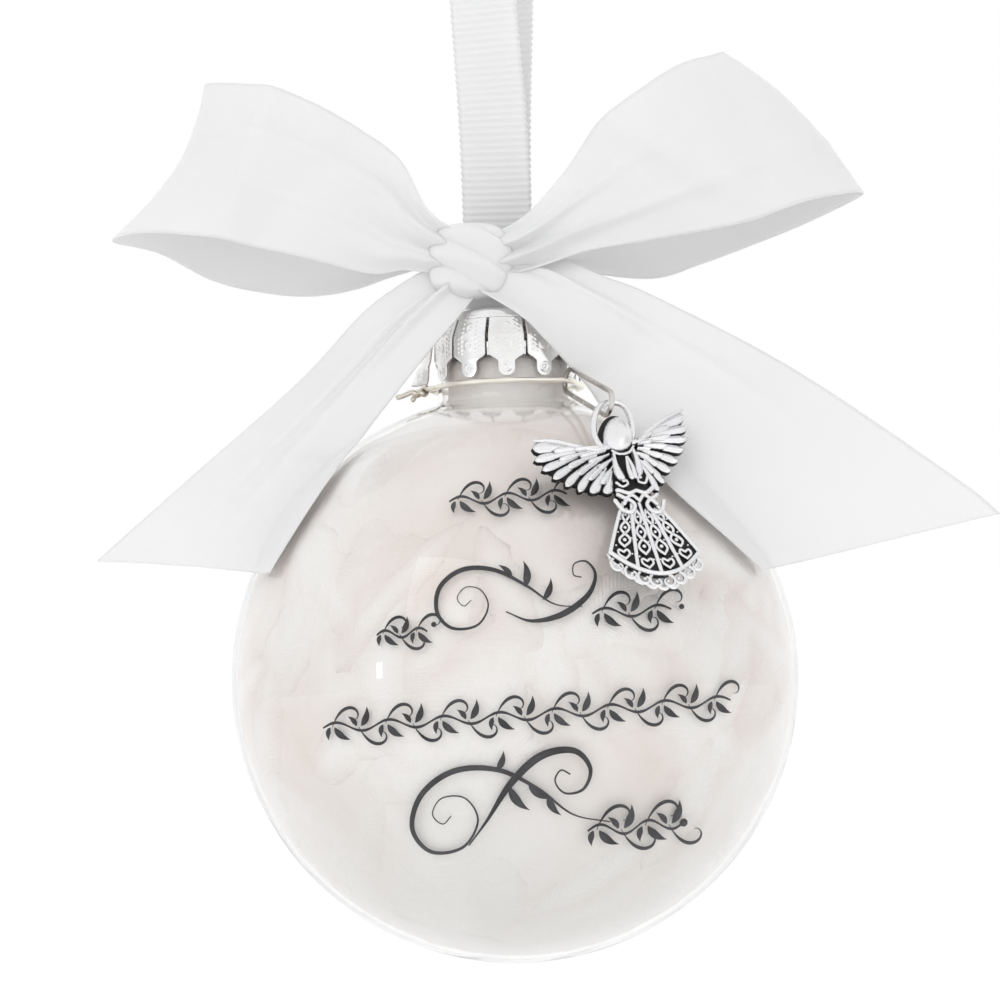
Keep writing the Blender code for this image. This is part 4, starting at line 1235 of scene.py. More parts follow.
@dataclass
class AngelCharm:
    """The cast charm and the long ring that it hangs from."""

    polar: float = math.radians(56)
    azimuth: float = math.radians(26)
    lift: float = 42.25 * MM
    shift: tuple[float, float] = (2.0 * MM, 0.6 * MM)
    height: float = 30.5 * MM
    halo_top: float = 5.1 * MM
    lean: float = 0.035
    tilt: float = 0.24
    sink: float = 2.1
    slip: float = 0.9
    wing_slip: float = 0.8
    flare: float = 4.2
    fall: float = 8.0
    waist: float = -10.7
    arc: float = 3.4

    def __post_init__(self) -> None:
        """Work out the charm's own axes: right across, out from the ball, up to the halo."""
        sine, cosine = math.sin(self.polar), math.cos(self.polar)
        self.out = np.array([sine * math.sin(self.azimuth), -sine * math.cos(self.azimuth), cosine])
        self.right = np.array([math.cos(self.azimuth), math.sin(self.azimuth), 0.0])
        self.up = np.cross(self.out, self.right)
        middle = BALL_CENTRE + self.out * self.lift + self.right * self.shift[0] + self.up * self.shift[1]
        self.head = middle + self.up * (self.height / 2 - self.halo_top)
        self.cast = Patchwork()

    def place(self, flat: np.ndarray, rise: np.ndarray | float) -> np.ndarray:
        """Points of the charm in the world, leaned, tilted and hung a little below the halo.

        Args:
            flat: millimetres right of and above the head's centre.
            rise: millimetres in front of the plate's middle.

        Returns:
            The points. The height is sheared by the distance sideways in the wings, and everything
            below the halo drops by a smooth step.
        """
        rise = np.broadcast_to(np.asarray(rise, float), flat.shape[:-1])
        below = 1 - ease(flat[..., 1:2], -0.5, 4.5)
        high = ease(flat[..., 1:2], -10.0, -7.0)
        wing = high * ease(np.abs(flat[..., :1]), 2.4, 6.0)
        x = flat[..., :1] + self.lean * flat[..., 1:2] - self.slip * below - self.wing_slip * wing
        z = flat[..., 1:2] + self.tilt * flat[..., :1] * high - self.sink * below
        return self.head + MM * (x * self.right + z * self.up + rise[..., None] * self.out)

    def wire(self, points: tuple | np.ndarray, thick: float, rise: float = 0.45, mirror: bool = True,
             taper: bool = False, count: int = 40) -> None:
        """A raised line: a half-sunk round bar along a curve on the plate.

        Args:
            points: what the curve goes through, in millimetres.
            thick: the bar's radius, in millimetres.
            rise: height of its middle above the plate's middle, in millimetres.
            mirror: True to repeat it on the other half.
            taper: True to thin it towards its end.
            count: points along it.
        """
        line = smooth_line(np.array(points), count)
        radius = thick * MM * (1 - (0.6 * np.linspace(0, 1, count) ** 2 if taper else 0.0))
        for way in (1, -1) if mirror else (1,):
            self.cast.add(tube(self.place(line * np.array([way, 1]), rise), radius, 8, self.out))

    def slab(self, left: np.ndarray, right: np.ndarray, low: float, high: float, tone: float,
             crown: float = 0.0) -> None:
        """A closed plate between two edge lines: its top is crowned by 1 − t², its rim goes straight down.

        Args:
            left: (n, 2) one edge, in millimetres.
            right: (n, 2) the other edge.
            low: height of its back, in millimetres.
            high: height of its front at the edges.
            tone: how raised it counts for the patina.
            crown: extra height in its middle.
        """
        t = np.linspace(-1, 1, 9)
        across = (left[:, None, :] * (1 - t[None, :, None]) / 2
                  + right[:, None, :] * (1 + t[None, :, None]) / 2)
        ends = np.sin(math.pi * np.linspace(0, 1, len(left))) ** 0.5
        top = high + crown * (1 - t[None, :] ** 2) * ends[:, None]
        front = self.place(across, top)
        back = self.place(across, low)
        self.cast.add(shut(front, back), tone=tone)
        for row in (0, -1):
            self.cast.add(np.stack([front[row], back[row]]), tone=tone)

    def plume(self, foot: tuple[float, float], tip: tuple[float, float], width: float, rise: float,
              bow: float) -> None:
        """One cast feather: it widens from its foot, rounds off at its tip and is domed, with a raised quill.

        Args:
            foot: where it leaves the wing, in millimetres.
            tip: where it ends.
            width: greatest full width.
            rise: height of its face above the plate's middle.
            bow: sideways bend in its middle.
        """
        s = np.linspace(0, 1, 15)[:, None]
        t = np.linspace(-1, 1, 9)[None, :]
        start, end = np.array(foot), np.array(tip)
        ahead = unit(end - start)
        side = np.array([-ahead[1], ahead[0]])
        half = width / 2 * np.clip(0.25 + 0.75 * np.sin(math.pi * s**1.5 * 0.5 + 0.2), 0, 1)
        half = half * np.sqrt(np.clip(1 - np.clip((s - 0.72) / 0.28, 0, 1) ** 2, 0, 1))
        across = (t * half + bow * np.sin(math.pi * s))[..., None] * side
        middle = start + (end - start) * s[..., None]
        dome = rise * (0.45 + 0.55 * np.sqrt(np.clip(1 - t**2, 0, 1)))
        top = dome + 0.16 * np.exp(-((t / 0.16) ** 2)) + 0 * s
        for way in (1, -1):
            flat = (middle + across) * np.array([way, 1])
            front, back = self.place(flat, top), self.place(flat, -0.35)
            tone = 0.2 + 0.8 * np.clip(1.5 * (1 - np.abs(t) ** 3), 0, 1) + 0 * s
            tone = np.concatenate([tone, np.full_like(tone, 0.3), tone[:, :1]], axis=1)
            self.cast.add(shut(front, back), tone=tone)

    def build_wings(self) -> None:
        """Three tiers of feathers on a dark plate, under a raised leading edge."""
        upper = np.array([(1.2, -1.0), (3.4, -1.4), (6.0, -0.4), (8.8, 0.4), (11.2, 0.7)])
        lower = np.array([(1.4, -7.0), (3.4, -7.8), (5.6, -6.9), (8.2, -5.0), (10.9, -2.4)])
        top, bottom = smooth_line(upper, 24), smooth_line(lower, 24)
        self.slab(top, bottom, -0.65, 0.05, 0.0)
        self.slab(top * MIRROR, bottom * MIRROR, -0.65, 0.05, 0.0)
        for feet, tips, width, rise, bow in WING_TIERS:
            for foot, tip in zip(feet, tips):
                self.plume(foot, tip, width, rise, bow)
        self.wire([(1.5, -1.0), (3.6, -1.1), (6.0, 0.0), (9.0, 1.1), (12.2, 1.6)], 0.45, 0.55, taper=True)

    def build_head(self) -> None:
        """A plain round head with no face, and the halo ring behind it."""
        polar = np.linspace(0, math.pi, 22)[:, None]
        angle = np.linspace(0, 2 * math.pi, 37)[None, :]
        flat = 2.3 * np.stack([np.sin(polar) * np.cos(angle), np.cos(polar) + 0 * angle], axis=-1)
        depth = 1.7 * np.sin(polar) * np.sin(angle)
        self.cast.add(self.place(flat, 0.55 + depth), tone=0.95)
        half = np.linspace(0, math.pi, 25)
        rim = np.stack([2.8 * np.sin(half), 0.1 - 2.8 * np.cos(half)], axis=1)
        self.slab(rim * MIRROR, rim, -0.4, -0.05, 0.0)
        ring = np.linspace(0, 2 * math.pi, 73)
        halo = np.stack([3.1 * np.cos(ring), 1.6 + 3.1 * np.sin(ring)], axis=1)
        self.cast.add(tube(self.place(halo, 0.0), 0.42 * MM, 10, self.out, closed=True))

    def build_gown(self) -> None:
        """The bodice with praying hands, the sash, and the panelled skirt with its lace hem."""
        flank = smooth_line(np.array([(1.6, -1.6), (2.6, -4.4), (2.5, -7.4), (2.4, -11.2)]), 16)
        self.slab(flank * MIRROR, flank, -0.65, 0.2, 0.0, 0.25)
        self.plume((1.5, -2.2), (1.25, -6.9), 1.5, 1.15, 0.35)
        self.wire(((0.28, -7.0), (0.34, -5.4), (0.1, -3.6)), 0.34, 1.3, taper=True)
        for points, thick, rise in BODICE_LINES:
            self.wire(points, thick, rise)
        down = np.linspace(0, 1, 30)
        t = np.linspace(-1, 1, 41)
        across = self.skirt(t[None, :], down[:, None])
        fold = 0.16 * np.cos(math.pi * 4 * t)[None, :] * down[:, None] + 0.25
        front, back = self.place(across, fold), self.place(across, -0.65)
        self.cast.add(shut(front, back), tone=0.0)
        for row in (0, -1):
            self.cast.add(np.stack([front[row], back[row]]), tone=0.2)
        for share in (-1.0, -0.5, 0.0, 0.5, 1.0):
            self.wire(self.skirt(np.full(6, share), np.linspace(0.0, 1.0, 6)), 0.3, 0.5, mirror=False)
        self.wire(self.skirt(np.linspace(-1, 1, 11), np.ones(11)), 0.3, 0.5, mirror=False, count=60)
        for share in (-0.75, -0.25, 0.25, 0.75):
            self.panel(share)
        self.lace()

    def skirt(self, share: np.ndarray, down: np.ndarray) -> np.ndarray:
        """Place on the skirt: it flares as down^0.9, and bows downwards in its middle.

        Args:
            share: from −1 at the left edge to 1 at the right.
            down: from 0 at the waist to 1 at the hem.

        Returns:
            Points in millimetres from the head's centre.
        """
        x = share * (2.3 + self.flare * down**0.9)
        z = self.waist - self.fall * down - self.arc * down * (1 - share**2)
        return np.stack(np.broadcast_arrays(x, z), axis=-1)

    def panel(self, share: float) -> None:
        """Figure-of-eight curls, dots and a small heart down one panel of the skirt.

        Args:
            share: where the panel's middle is, from −1 at the left edge to 1 at the right.
        """
        down = np.linspace(0.1, 0.74, 40)
        scale = (0.4 + 1.1 * down) * 0.72
        sway = np.sin((down - 0.1) / 0.64 * 3 * math.pi) * scale
        middle = self.skirt(np.full(40, share), down)
        for way in (1, -1):
            line = middle + np.stack([way * sway, 0 * sway], axis=1)
            self.cast.add(tube(self.place(line, 0.42), 0.23 * MM, 6, self.out))
        for level, size in ((0.2, 0.2), (0.42, 0.25), (0.63, 0.3)):
            self.bead(*self.skirt(np.array(share), np.array(level)), size, 0.4)
        x, z = self.skirt(np.array(share), np.array(0.87))
        for way in (1, -1):
            heart = [(x, z - 0.75), (x + way * 0.8, z), (x + way * 0.62, z + 0.7), (x, z + 0.35)]
            self.wire(heart, 0.2, 0.42, mirror=False, count=16)
            for level in (0.3, 0.55, 0.8):
                spot = self.skirt(np.array(share + way * 0.17), np.array(level))
                self.bead(*spot, 0.16, 0.38)

    def bead(self, x: float, z: float, size: float, rise: float) -> None:
        """A small dome on the plate."""
        polar = np.linspace(0, math.pi, 7)[:, None]
        angle = np.linspace(0, 2 * math.pi, 13)[None, :]
        circle = np.stack([np.sin(polar) * np.cos(angle), np.sin(polar) * np.sin(angle)], axis=-1)
        flat = np.array([x, z]) + size * circle
        self.cast.add(self.place(flat, rise + size * np.cos(polar) + 0 * angle), tone=0.95)

    def lace(self) -> None:
        """Openwork scrolls hanging under the hem, mirrored about the middle, and a scalloped edge."""
        spiral = np.linspace(0.0, 1.0, 30)
        for number in range(8):
            share = -0.875 + 0.25 * number
            x0, z0 = self.skirt(np.array(share), np.array(1.0)) + np.array([0.0, -1.0])
            way = 1 if share < 0 else -1
            angle = way * (0.5 + 4.8 * spiral) + math.pi / 2
            radius = 1.1 - 0.65 * spiral
            line = np.stack([x0 + radius * np.cos(angle), z0 + radius * np.sin(angle)], axis=1)
            self.cast.add(tube(self.place(line, 0.1), (0.27 - 0.08 * spiral) * MM, 6, self.out))
            self.bead(x0, z0, 0.26, 0.05)
        span = np.linspace(-1, 1, 65)
        scallop = self.skirt(span, np.ones(65))
        depth = 1.6 + 0.45 * np.abs(np.cos(4 * math.pi * span))
        scallop[:, 1] -= depth * np.sin(math.pi * (span + 1) / 2) ** 0.3
        self.cast.add(tube(self.place(scallop, -0.1), 0.26 * MM, 8, self.out))

    def build_ring(self, finishes: Finishes) -> None:
        """The long oval ring: half circles about the wire and the halo, joined by straight sides.

        Args:
            finishes: the materials.
        """
        halo_width = 1.0 * MM
        at_wire = around(np.array(RING_AZIMUTH), np.array(RING_SEAT), np.array(WIRE_Z))
        at_halo = self.head + self.up * (self.halo_top - halo_width / 2)
        along = unit(at_halo - at_wire)
        up = unit(self.out - along * float(self.out @ along))
        bend = 1.3 * MM + RING_THICK
        slack = 0.35 * MM + RING_PLAY + RING_THICK - bend
        near = at_wire - along * (slack + WIRE_RADIUS)
        far = at_halo + along * (slack + halo_width / 2)
        turn = np.linspace(-math.pi / 2, math.pi / 2, 17)[:, None]
        path = np.vstack([far + along * bend * np.cos(turn) + up * bend * np.sin(turn),
                          near - along * bend * np.cos(turn) - up * bend * np.sin(turn)])
        path = np.vstack([path, path[:1]])
        length = np.concatenate([[0], np.cumsum(np.linalg.norm(np.diff(path, axis=0), axis=1))])
        wanted = np.linspace(0, length[-1], 121)
        line = np.stack([np.interp(wanted, length, path[:, k]) for k in range(3)], axis=1)
        ring = Patchwork()
        ring.add(tube(line, RING_THICK, 12, np.cross(along, up), closed=True))
        ring.make("oval_ring", Body.RING, Slot.RING, finishes.ring, stands_for=("jump_ring",))

    def build(self, finishes: Finishes) -> None:
        """Build the charm as one cast piece, and its ring.

        Args:
            finishes: the materials.
        """
        self.build_wings()
        self.build_head()
        self.build_gown()
        self.cast.make("cast_angel", Body.CHARM, Slot.CHARM, finishes.charm, stands_for=("angel_charm",))
        self.build_ring(finishes)


# ---------------------------------------------------------------- ribbons

# Edge lines of the bow: share of the reach, share of the satin's width to the side, depth in millimetres
LEFT_LOOP_UPPER = (
    (0.05, 0.12, -7.0), (0.17, 0.19, -7.7), (0.31, 0.42, -9), (0.54, 0.53, -11), (0.74, 0.56, -9),
    (0.94, 0.51, -3), (0.82, 0.54, 3.5), (0.57, 0.48, 5.5), (0.32, 0.29, 2.5), (0.19, 0.08, -3),
    (0.08, 0.0, -4.6))
LEFT_LOOP_LOWER = (
    (0.05, -0.12, -7.0), (0.17, -0.17, -7.7), (0.27, -0.26, -9), (0.49, -0.31, -12), (0.76, -0.37, -12),
    (0.96, -0.44, -8), (1.05, -0.52, -4), (0.92, -0.48, 1), (0.75, -0.52, 4), (0.59, -0.49, 5),
    (0.45, -0.43, 4), (0.32, -0.33, 1), (0.20, -0.20, -3), (0.08, -0.06, -4.6))
RIGHT_LOOP_UPPER = (
    (0.05, 0.09, -7.0), (0.18, 0.10, -7.6), (0.34, 0.24, -8), (0.48, 0.40, -10), (0.64, 0.48, -11),
    (0.77, 0.53, -8), (0.90, 0.53, -3), (0.77, 0.50, 3), (0.60, 0.39, 5), (0.41, 0.17, 2),
    (0.27, -0.02, -3.4), (0.09, 0.0, -4.6))
RIGHT_LOOP_LOWER = (
    (0.05, -0.16, -7.2), (0.18, -0.20, -7.9), (0.31, -0.23, -8.5), (0.48, -0.33, -10), (0.73, -0.46, -12),
    (0.93, -0.48, -9), (1.09, -0.54, -3), (0.93, -0.54, 2), (0.77, -0.52, 4), (0.61, -0.50, 4),
    (0.46, -0.47, 2), (0.27, -0.29, -3.4), (0.09, -0.06, -4.6))
LEFT_TAIL_UPPER = (
    (0.02, 0.08, -5.0), (0.10, 0.16, -5.2), (0.175, 0.21, -5.0), (0.27, 0.25, -4.4), (0.49, 0.27, -1),
    (0.83, 0.36, 1), (1.12, 0.43, 2))
LEFT_TAIL_LOWER = (
    (0.02, -0.14, -6.6), (0.14, -0.17, -9), (0.24, -0.19, -9.5), (0.51, -0.26, -12), (0.60, -0.30, -14),
    (0.85, -0.42, -16))
RIGHT_TAIL_UPPER = (
    (0.02, 0.08, -5.0), (0.08, 0.20, -5.4), (0.146, 0.31, -5.8), (0.24, 0.36, -7.0), (0.36, 0.43, -8),
    (0.67, 0.54, -8), (1.06, 0.55, -10), (1.17, 0.53, -10))
RIGHT_TAIL_LOWER = (
    (0.02, -0.12, -7.0), (0.15, -0.11, -10.4), (0.22, -0.14, -10.6), (0.34, -0.21, -8.8),
    (0.40, -0.28, -12.4), (0.58, -0.45, -20.5), (0.84, -0.52, -16))


class Wrap(Enum):
    """Which way a stretch of the bow runs."""

    LOOP = "out to the tip and back"
    TAIL = "out to a cut end"


@dataclass
class Stretch:
    """One stretch of satin between two edge lines, with folds near the knot."""

    name: str
    node: str
    upper: tuple
    lower: tuple
    reach: float
    direction: float
    wrap: Wrap
    flat_length: float
    billow: float
    pleats: float
    phase: float
    creases: tuple[tuple[float, float, float, float], ...] = ()
    folds: tuple[tuple[float, float, float, float], ...] = ()
    pinch: float = 0.0
    satin_width: float = 25.0 * MM

    def edge(self, points: tuple, stations: int) -> np.ndarray:
        """One edge in the row frame: knot + share × reach along + side × satin width across.

        Args:
            points: the edge's table.
            stations: points along the edge.

        Returns:
            (stations, 3) points.
        """
        along = np.array([math.cos(self.direction), 0.0, math.sin(self.direction)])
        across = np.array([-along[2], 0.0, along[0]])
        across = across if across[2] > 0 else -across
        table = np.array(points, float)
        flat = np.array([KNOT_CENTRE[0], 0.0, KNOT_CENTRE[2]])
        line = flat + table[:, :1] * self.reach * along + table[:, 1:2] * self.satin_width * across
        line[:, 1] = table[:, 2] * MM
        return smooth_line(line, stations)

    def surface(self) -> tuple[np.ndarray, np.ndarray]:
        """The satin's middle surface and its flat places.

        Straight lines join the two edges. Each point then moves along the surface's normal by the
        billow, sin(πt) over the stretch, by pleats that die away from the knot, cos(2πkt), by creases,
        each a narrow bell across the satin that fades along it, and by folds, each a bell along it.
        The tip is drawn inwards by the pinch.

        Returns:
            The (stations, columns, 3) grid, and the flat places in millimetres.
        """
        stations, columns = 150, 40
        first, last = self.edge(self.upper, stations), self.edge(self.lower, stations)
        t = np.linspace(0, 1, columns)[None, :]
        grid = first[:, None] * (1 - t[..., None]) + last[:, None] * t[..., None]
        normal = unit(np.cross(np.gradient(grid, axis=0), np.gradient(grid, axis=1)))
        step = np.linalg.norm(np.diff(grid.mean(1), axis=0), axis=1)
        length = np.concatenate([[0], np.cumsum(step)])[:, None]
        s = length / length[-1]
        if normal[stations // 8, columns // 2, 1] > 0:
            normal = -normal
        near = np.exp(-((length / (13 * MM)) ** 2))
        if self.wrap is Wrap.LOOP:
            near = near + np.exp(-(((length[-1] - length) / (10 * MM)) ** 2))
        swell = np.sin(math.pi * s) ** 0.8 if self.wrap is Wrap.LOOP else ease(s, 0.05, 0.5) * (1 - 0.4 * s)
        rise = self.billow * np.sin(math.pi * t) * swell
        rise = rise + 0.8 * MM * near * np.cos(2 * math.pi * self.pleats * t + self.phase)
        for place, width, depth, spread in self.creases:
            bell = np.exp(-(((t - place) / width) ** 2))
            rise = rise + depth * MM * bell * np.exp(-((s / spread) ** 2)) * ease(s, 0.0, 0.06)
        for place, slant, width, depth in self.folds:
            rise = rise + depth * MM * np.exp(-(((s - place - slant * (t - 0.5)) / width) ** 2))
        grid = grid + normal * rise[..., None]
        inward = np.array([-math.cos(self.direction), 0.0, -math.sin(self.direction)])
        tip = np.sin(math.pi * t) * np.exp(-(((s - 0.5) / 0.11) ** 2))
        grid = grid + inward * (self.pinch * tip)[..., None]
        if self.wrap is Wrap.TAIL:
            grid = self.clear_of_ball(grid)
        laid = np.stack(np.broadcast_arrays(length / MM, t * self.satin_width / MM), axis=-1)
        return grid, laid

    def clear_of_ball(self, grid: np.ndarray) -> np.ndarray:
        """Move points forwards until they lie in front of the glass: y ≤ −√(reach² − x² − z²).

        Args:
            grid: the points.

        Returns:
            The moved points.
        """
        reach = BALL_RADIUS + 0.95 * MM
        away = grid - BALL_CENTRE
        square = away[..., 0] ** 2 + away[..., 2] ** 2
        front = -np.sqrt(np.maximum(reach**2 - square, 0.0))
        moved = grid.copy()
        moved[..., 1] = np.where(square < reach**2, np.minimum(grid[..., 1], front), grid[..., 1])
        return moved

    def build(self, finishes: Finishes) -> bpy.types.Object:
        """Args:
            finishes: the materials.

        Returns:
            The piece.
        """
        grid, laid = self.surface()
        cloth = Patchwork()
        cloth.add(grid, laid)
        piece = cloth.make(self.name, Body.CAP, Slot.SATIN, finishes.satin, closed=False, wall=0.22 * MM,
                           stands_for=(self.node,))
        return piece


@dataclass
class SatinBow:
    """The bow: a gathered knot, its tie, two loops and two tails."""

    knot_size: tuple[float, float, float] = (12.0 * MM, 5.5 * MM, 10.8 * MM)

    def build_knot(self, finishes: Finishes) -> None:
        """A wrapped knot: a rounded block whose radius rises and falls in slanting folds.

        Args:
            finishes: the materials.
        """
        polar = np.linspace(0, math.pi, 64)[:, None]
        angle = np.linspace(0, 2 * math.pi, 97)[None, :]
        ball = np.stack([np.sin(polar) * np.sin(angle), -np.sin(polar) * np.cos(angle),
                         np.cos(polar) + 0 * angle], axis=-1)
        block = np.sign(ball) * np.abs(ball) ** 0.72 / 2
        slant = (block[..., 2] + 0.62 * block[..., 0] + 0.35 * block[..., 0] ** 2) * 2.3 * math.pi
        crease = np.abs(np.cos(slant + 0.5)) ** 0.6 - 0.7
        fold = 0.2 * crease + 0.05 * np.cos(2.6 * slant - 6 * block[..., 0])
        fold = fold * np.clip(-1.3 * ball[..., 1], 0.05, 1)
        grid = KNOT_CENTRE + block * np.array(self.knot_size) * (1 + fold * np.sin(polar) ** 0.5)[..., None]
        knot = Patchwork()
        laid = np.stack([(block[..., 0] + 0.5) * 30, (block[..., 2] + 0.5) * 25], axis=-1)
        knot.add(grid, laid)
        knot.make("gathered_knot", Body.CAP, Slot.SATIN, finishes.satin, stands_for=("bow_knot",))

    def build_tie(self, finishes: Finishes) -> None:
        """The satin behind the knot: a flattened ring about the clip's waist, with soft folds.

        Args:
            finishes: the materials.
        """
        level = BALL_CENTRE[2] + CAP_TOP_Z + 0.4 * MM
        angle = np.linspace(0, 2 * math.pi, 97)[:, None]
        section = np.linspace(0, 2 * math.pi, 21)[None, :]
        inner_x, front, back = 5.0 * MM, 3.05 * MM, 0.75 * MM
        reach_y = (front + back) / 2
        wall = 0.38 * MM
        push = wall + wall * np.cos(section) * (1 + 0.2 * np.sin(9 * angle))
        x = (inner_x + push) * np.cos(angle)
        y = (back - front) / 2 + (reach_y + push) * np.sin(angle)
        z = level + 1.1 * MM + 1.05 * MM * np.sin(section) * (1 + 0.06 * np.sin(7 * angle)) + 0 * angle
        grid = np.stack([x, y, z], axis=-1)
        tie = Patchwork()
        tie.add(grid, np.stack(np.broadcast_arrays(angle * 4, section * 2), axis=-1))
        tie.make("back_tie", Body.CAP, Slot.SATIN, finishes.satin, stands_for=("bow_tie",))

    def build(self, finishes: Finishes) -> None:
        """Build the knot, the tie and the four stretches.

        Args:
            finishes: the materials.
        """
        self.build_knot(finishes)
        self.build_tie(finishes)
        Stretch("satin_loop_left", "bow_loop_left", LEFT_LOOP_UPPER, LEFT_LOOP_LOWER, reach=47.0 * MM,
                direction=math.radians(160.2), wrap=Wrap.LOOP, flat_length=0.098, billow=1.9 * MM,
                pleats=2.5, phase=0.4, creases=((0.3, 0.05, 0.9, 0.35), (0.62, 0.05, 0.8, 0.3)),
                folds=((0.33, -0.05, 0.032, 0.9), (0.24, 0.08, 0.035, -0.5)), pinch=4.6 * MM).build(finishes)
        Stretch("satin_loop_right", "bow_loop_right", RIGHT_LOOP_UPPER, RIGHT_LOOP_LOWER, reach=50.6 * MM,
                direction=math.radians(22.5), wrap=Wrap.LOOP, flat_length=0.102, billow=2.2 * MM,
                pleats=2.5, phase=2.0, creases=((0.35, 0.05, 0.9, 0.3), (0.7, 0.05, 0.9, 0.4)),
                folds=((0.3, 0.1, 0.03, 0.9), (0.4, -0.12, 0.035, -0.7)), pinch=0.6 * MM).build(finishes)
        Stretch("satin_tail_left", "bow_tail_left", LEFT_TAIL_UPPER, LEFT_TAIL_LOWER, reach=60.0 * MM,
                direction=math.radians(-134.3), wrap=Wrap.TAIL, flat_length=0.062, billow=1.0 * MM,
                pleats=1.5, phase=0.6,
                creases=((0.6, 0.05, 1.2, 0.7), (0.42, 0.03, -0.8, 0.6))).build(finishes)
        tail = Stretch("satin_tail_right", "bow_tail_right", RIGHT_TAIL_UPPER, RIGHT_TAIL_LOWER,
                       reach=69.0 * MM, direction=math.radians(-36.9), wrap=Wrap.TAIL, flat_length=0.071,
                       billow=1.0 * MM, pleats=1.5, phase=1.8,
                       creases=((0.3, 0.05, 0.9, 0.5),)).build(finishes)
        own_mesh(tail)


@dataclass
class HangingRibbon:
    """The ribbed hanging loop, with small picots along its edges."""

    width: float = 10.0 * MM
    thickness: float = 0.42 * MM
    drop: float = 88.0 * MM
    opening: float = 16.5 * MM
    turn: float = math.radians(-17)
    side: float = -0.8 * MM
    rib: float = 0.95 * MM
    stations: int = 1500
    columns: int = 15

    def middle_line(self) -> np.ndarray:
        """The closed line: round the eye's bar, up, over the hanging point, down.

        Returns:
            (stations + 1, 2) of y and z; the last point repeats the first.
        """
        eye_wire, clearance, half_band = 0.4 * MM, 0.35 * MM, 0.25 * MM
        bar = eye_wire + clearance + half_band
        top = self.opening / 2
        rise = self.drop - top + half_band
        low = np.linspace(math.pi, 2 * math.pi, 13)
        bottom = np.stack([bar * np.cos(low), -self.drop + bar * np.sin(low)], axis=1)
        share = np.linspace(0, 1, 21)[1:-1]
        strand = np.stack([bar + (top - bar) * ease(share, 0, 1), -self.drop + rise * share], axis=1)
        high = np.linspace(0, math.pi, 21)
        crest = np.stack([top * np.cos(high), rise - self.drop + top * np.sin(high)], axis=1)
        back = strand[::-1] * np.array([-1, 1])
        return smooth_line(np.vstack([bottom, strand, crest, back]), self.stations + 1, closed=True)

    def build(self, finishes: Finishes) -> None:
        """Build the band: ribs are a cosine of the length, picots small waves of the edge.

        Args:
            finishes: the materials.
        """
        line = self.middle_line()
        length = np.concatenate([[0], np.cumsum(np.linalg.norm(np.diff(line, axis=0), axis=1))])
        whole = max(1, round(length[-1] / self.rib))
        wave = 2 * math.pi * whole * length / length[-1]
        steps = np.vstack([line[-2:-1], line, line[1:2]])
        ahead = unit(steps[2:] - steps[:-2])
        out = np.stack([ahead[:, 1], -ahead[:, 0]], axis=1)
        t = np.linspace(-1, 1, self.columns)
        edge = np.abs(t) > 0.93
        half = self.width / 2 * np.where(edge[None, :], 1 - 0.035 * (1 - np.cos(wave))[:, None] / 2, 1.0)
        x = half * t[None, :]
        inner = np.where(np.abs(t) > 0.88, 0.45, 1.0)[None, :]
        thick = self.thickness / 2 * (0.72 + 0.28 * np.cos(wave)[:, None]) * inner
        sides = []
        for way in (1, -1):
            y = line[:, :1] + way * out[:, :1] * thick
            z = line[:, 1:] + way * out[:, 1:] * thick
            angle = self.turn * ease(z + self.drop, 6 * MM, 36 * MM)
            sides.append(np.stack([x * np.cos(angle) - y * np.sin(angle) + self.side,
                                   x * np.sin(angle) + y * np.cos(angle), z], axis=-1))
        across = np.concatenate([t, t[::-1], t[:1]])[None, :]
        aside = (across + 1) * self.width / 2 / MM
        band = Patchwork()
        band.add(shut(*sides), np.stack(np.broadcast_arrays(length[:, None] / MM, aside), axis=-1))
        piece = band.make("ribbed_loop", Body.LOOP, Slot.RIBBON, finishes.ribbed,
                          stands_for=("hanging_ribbon",))


# ---------------------------------------------------------------- studio


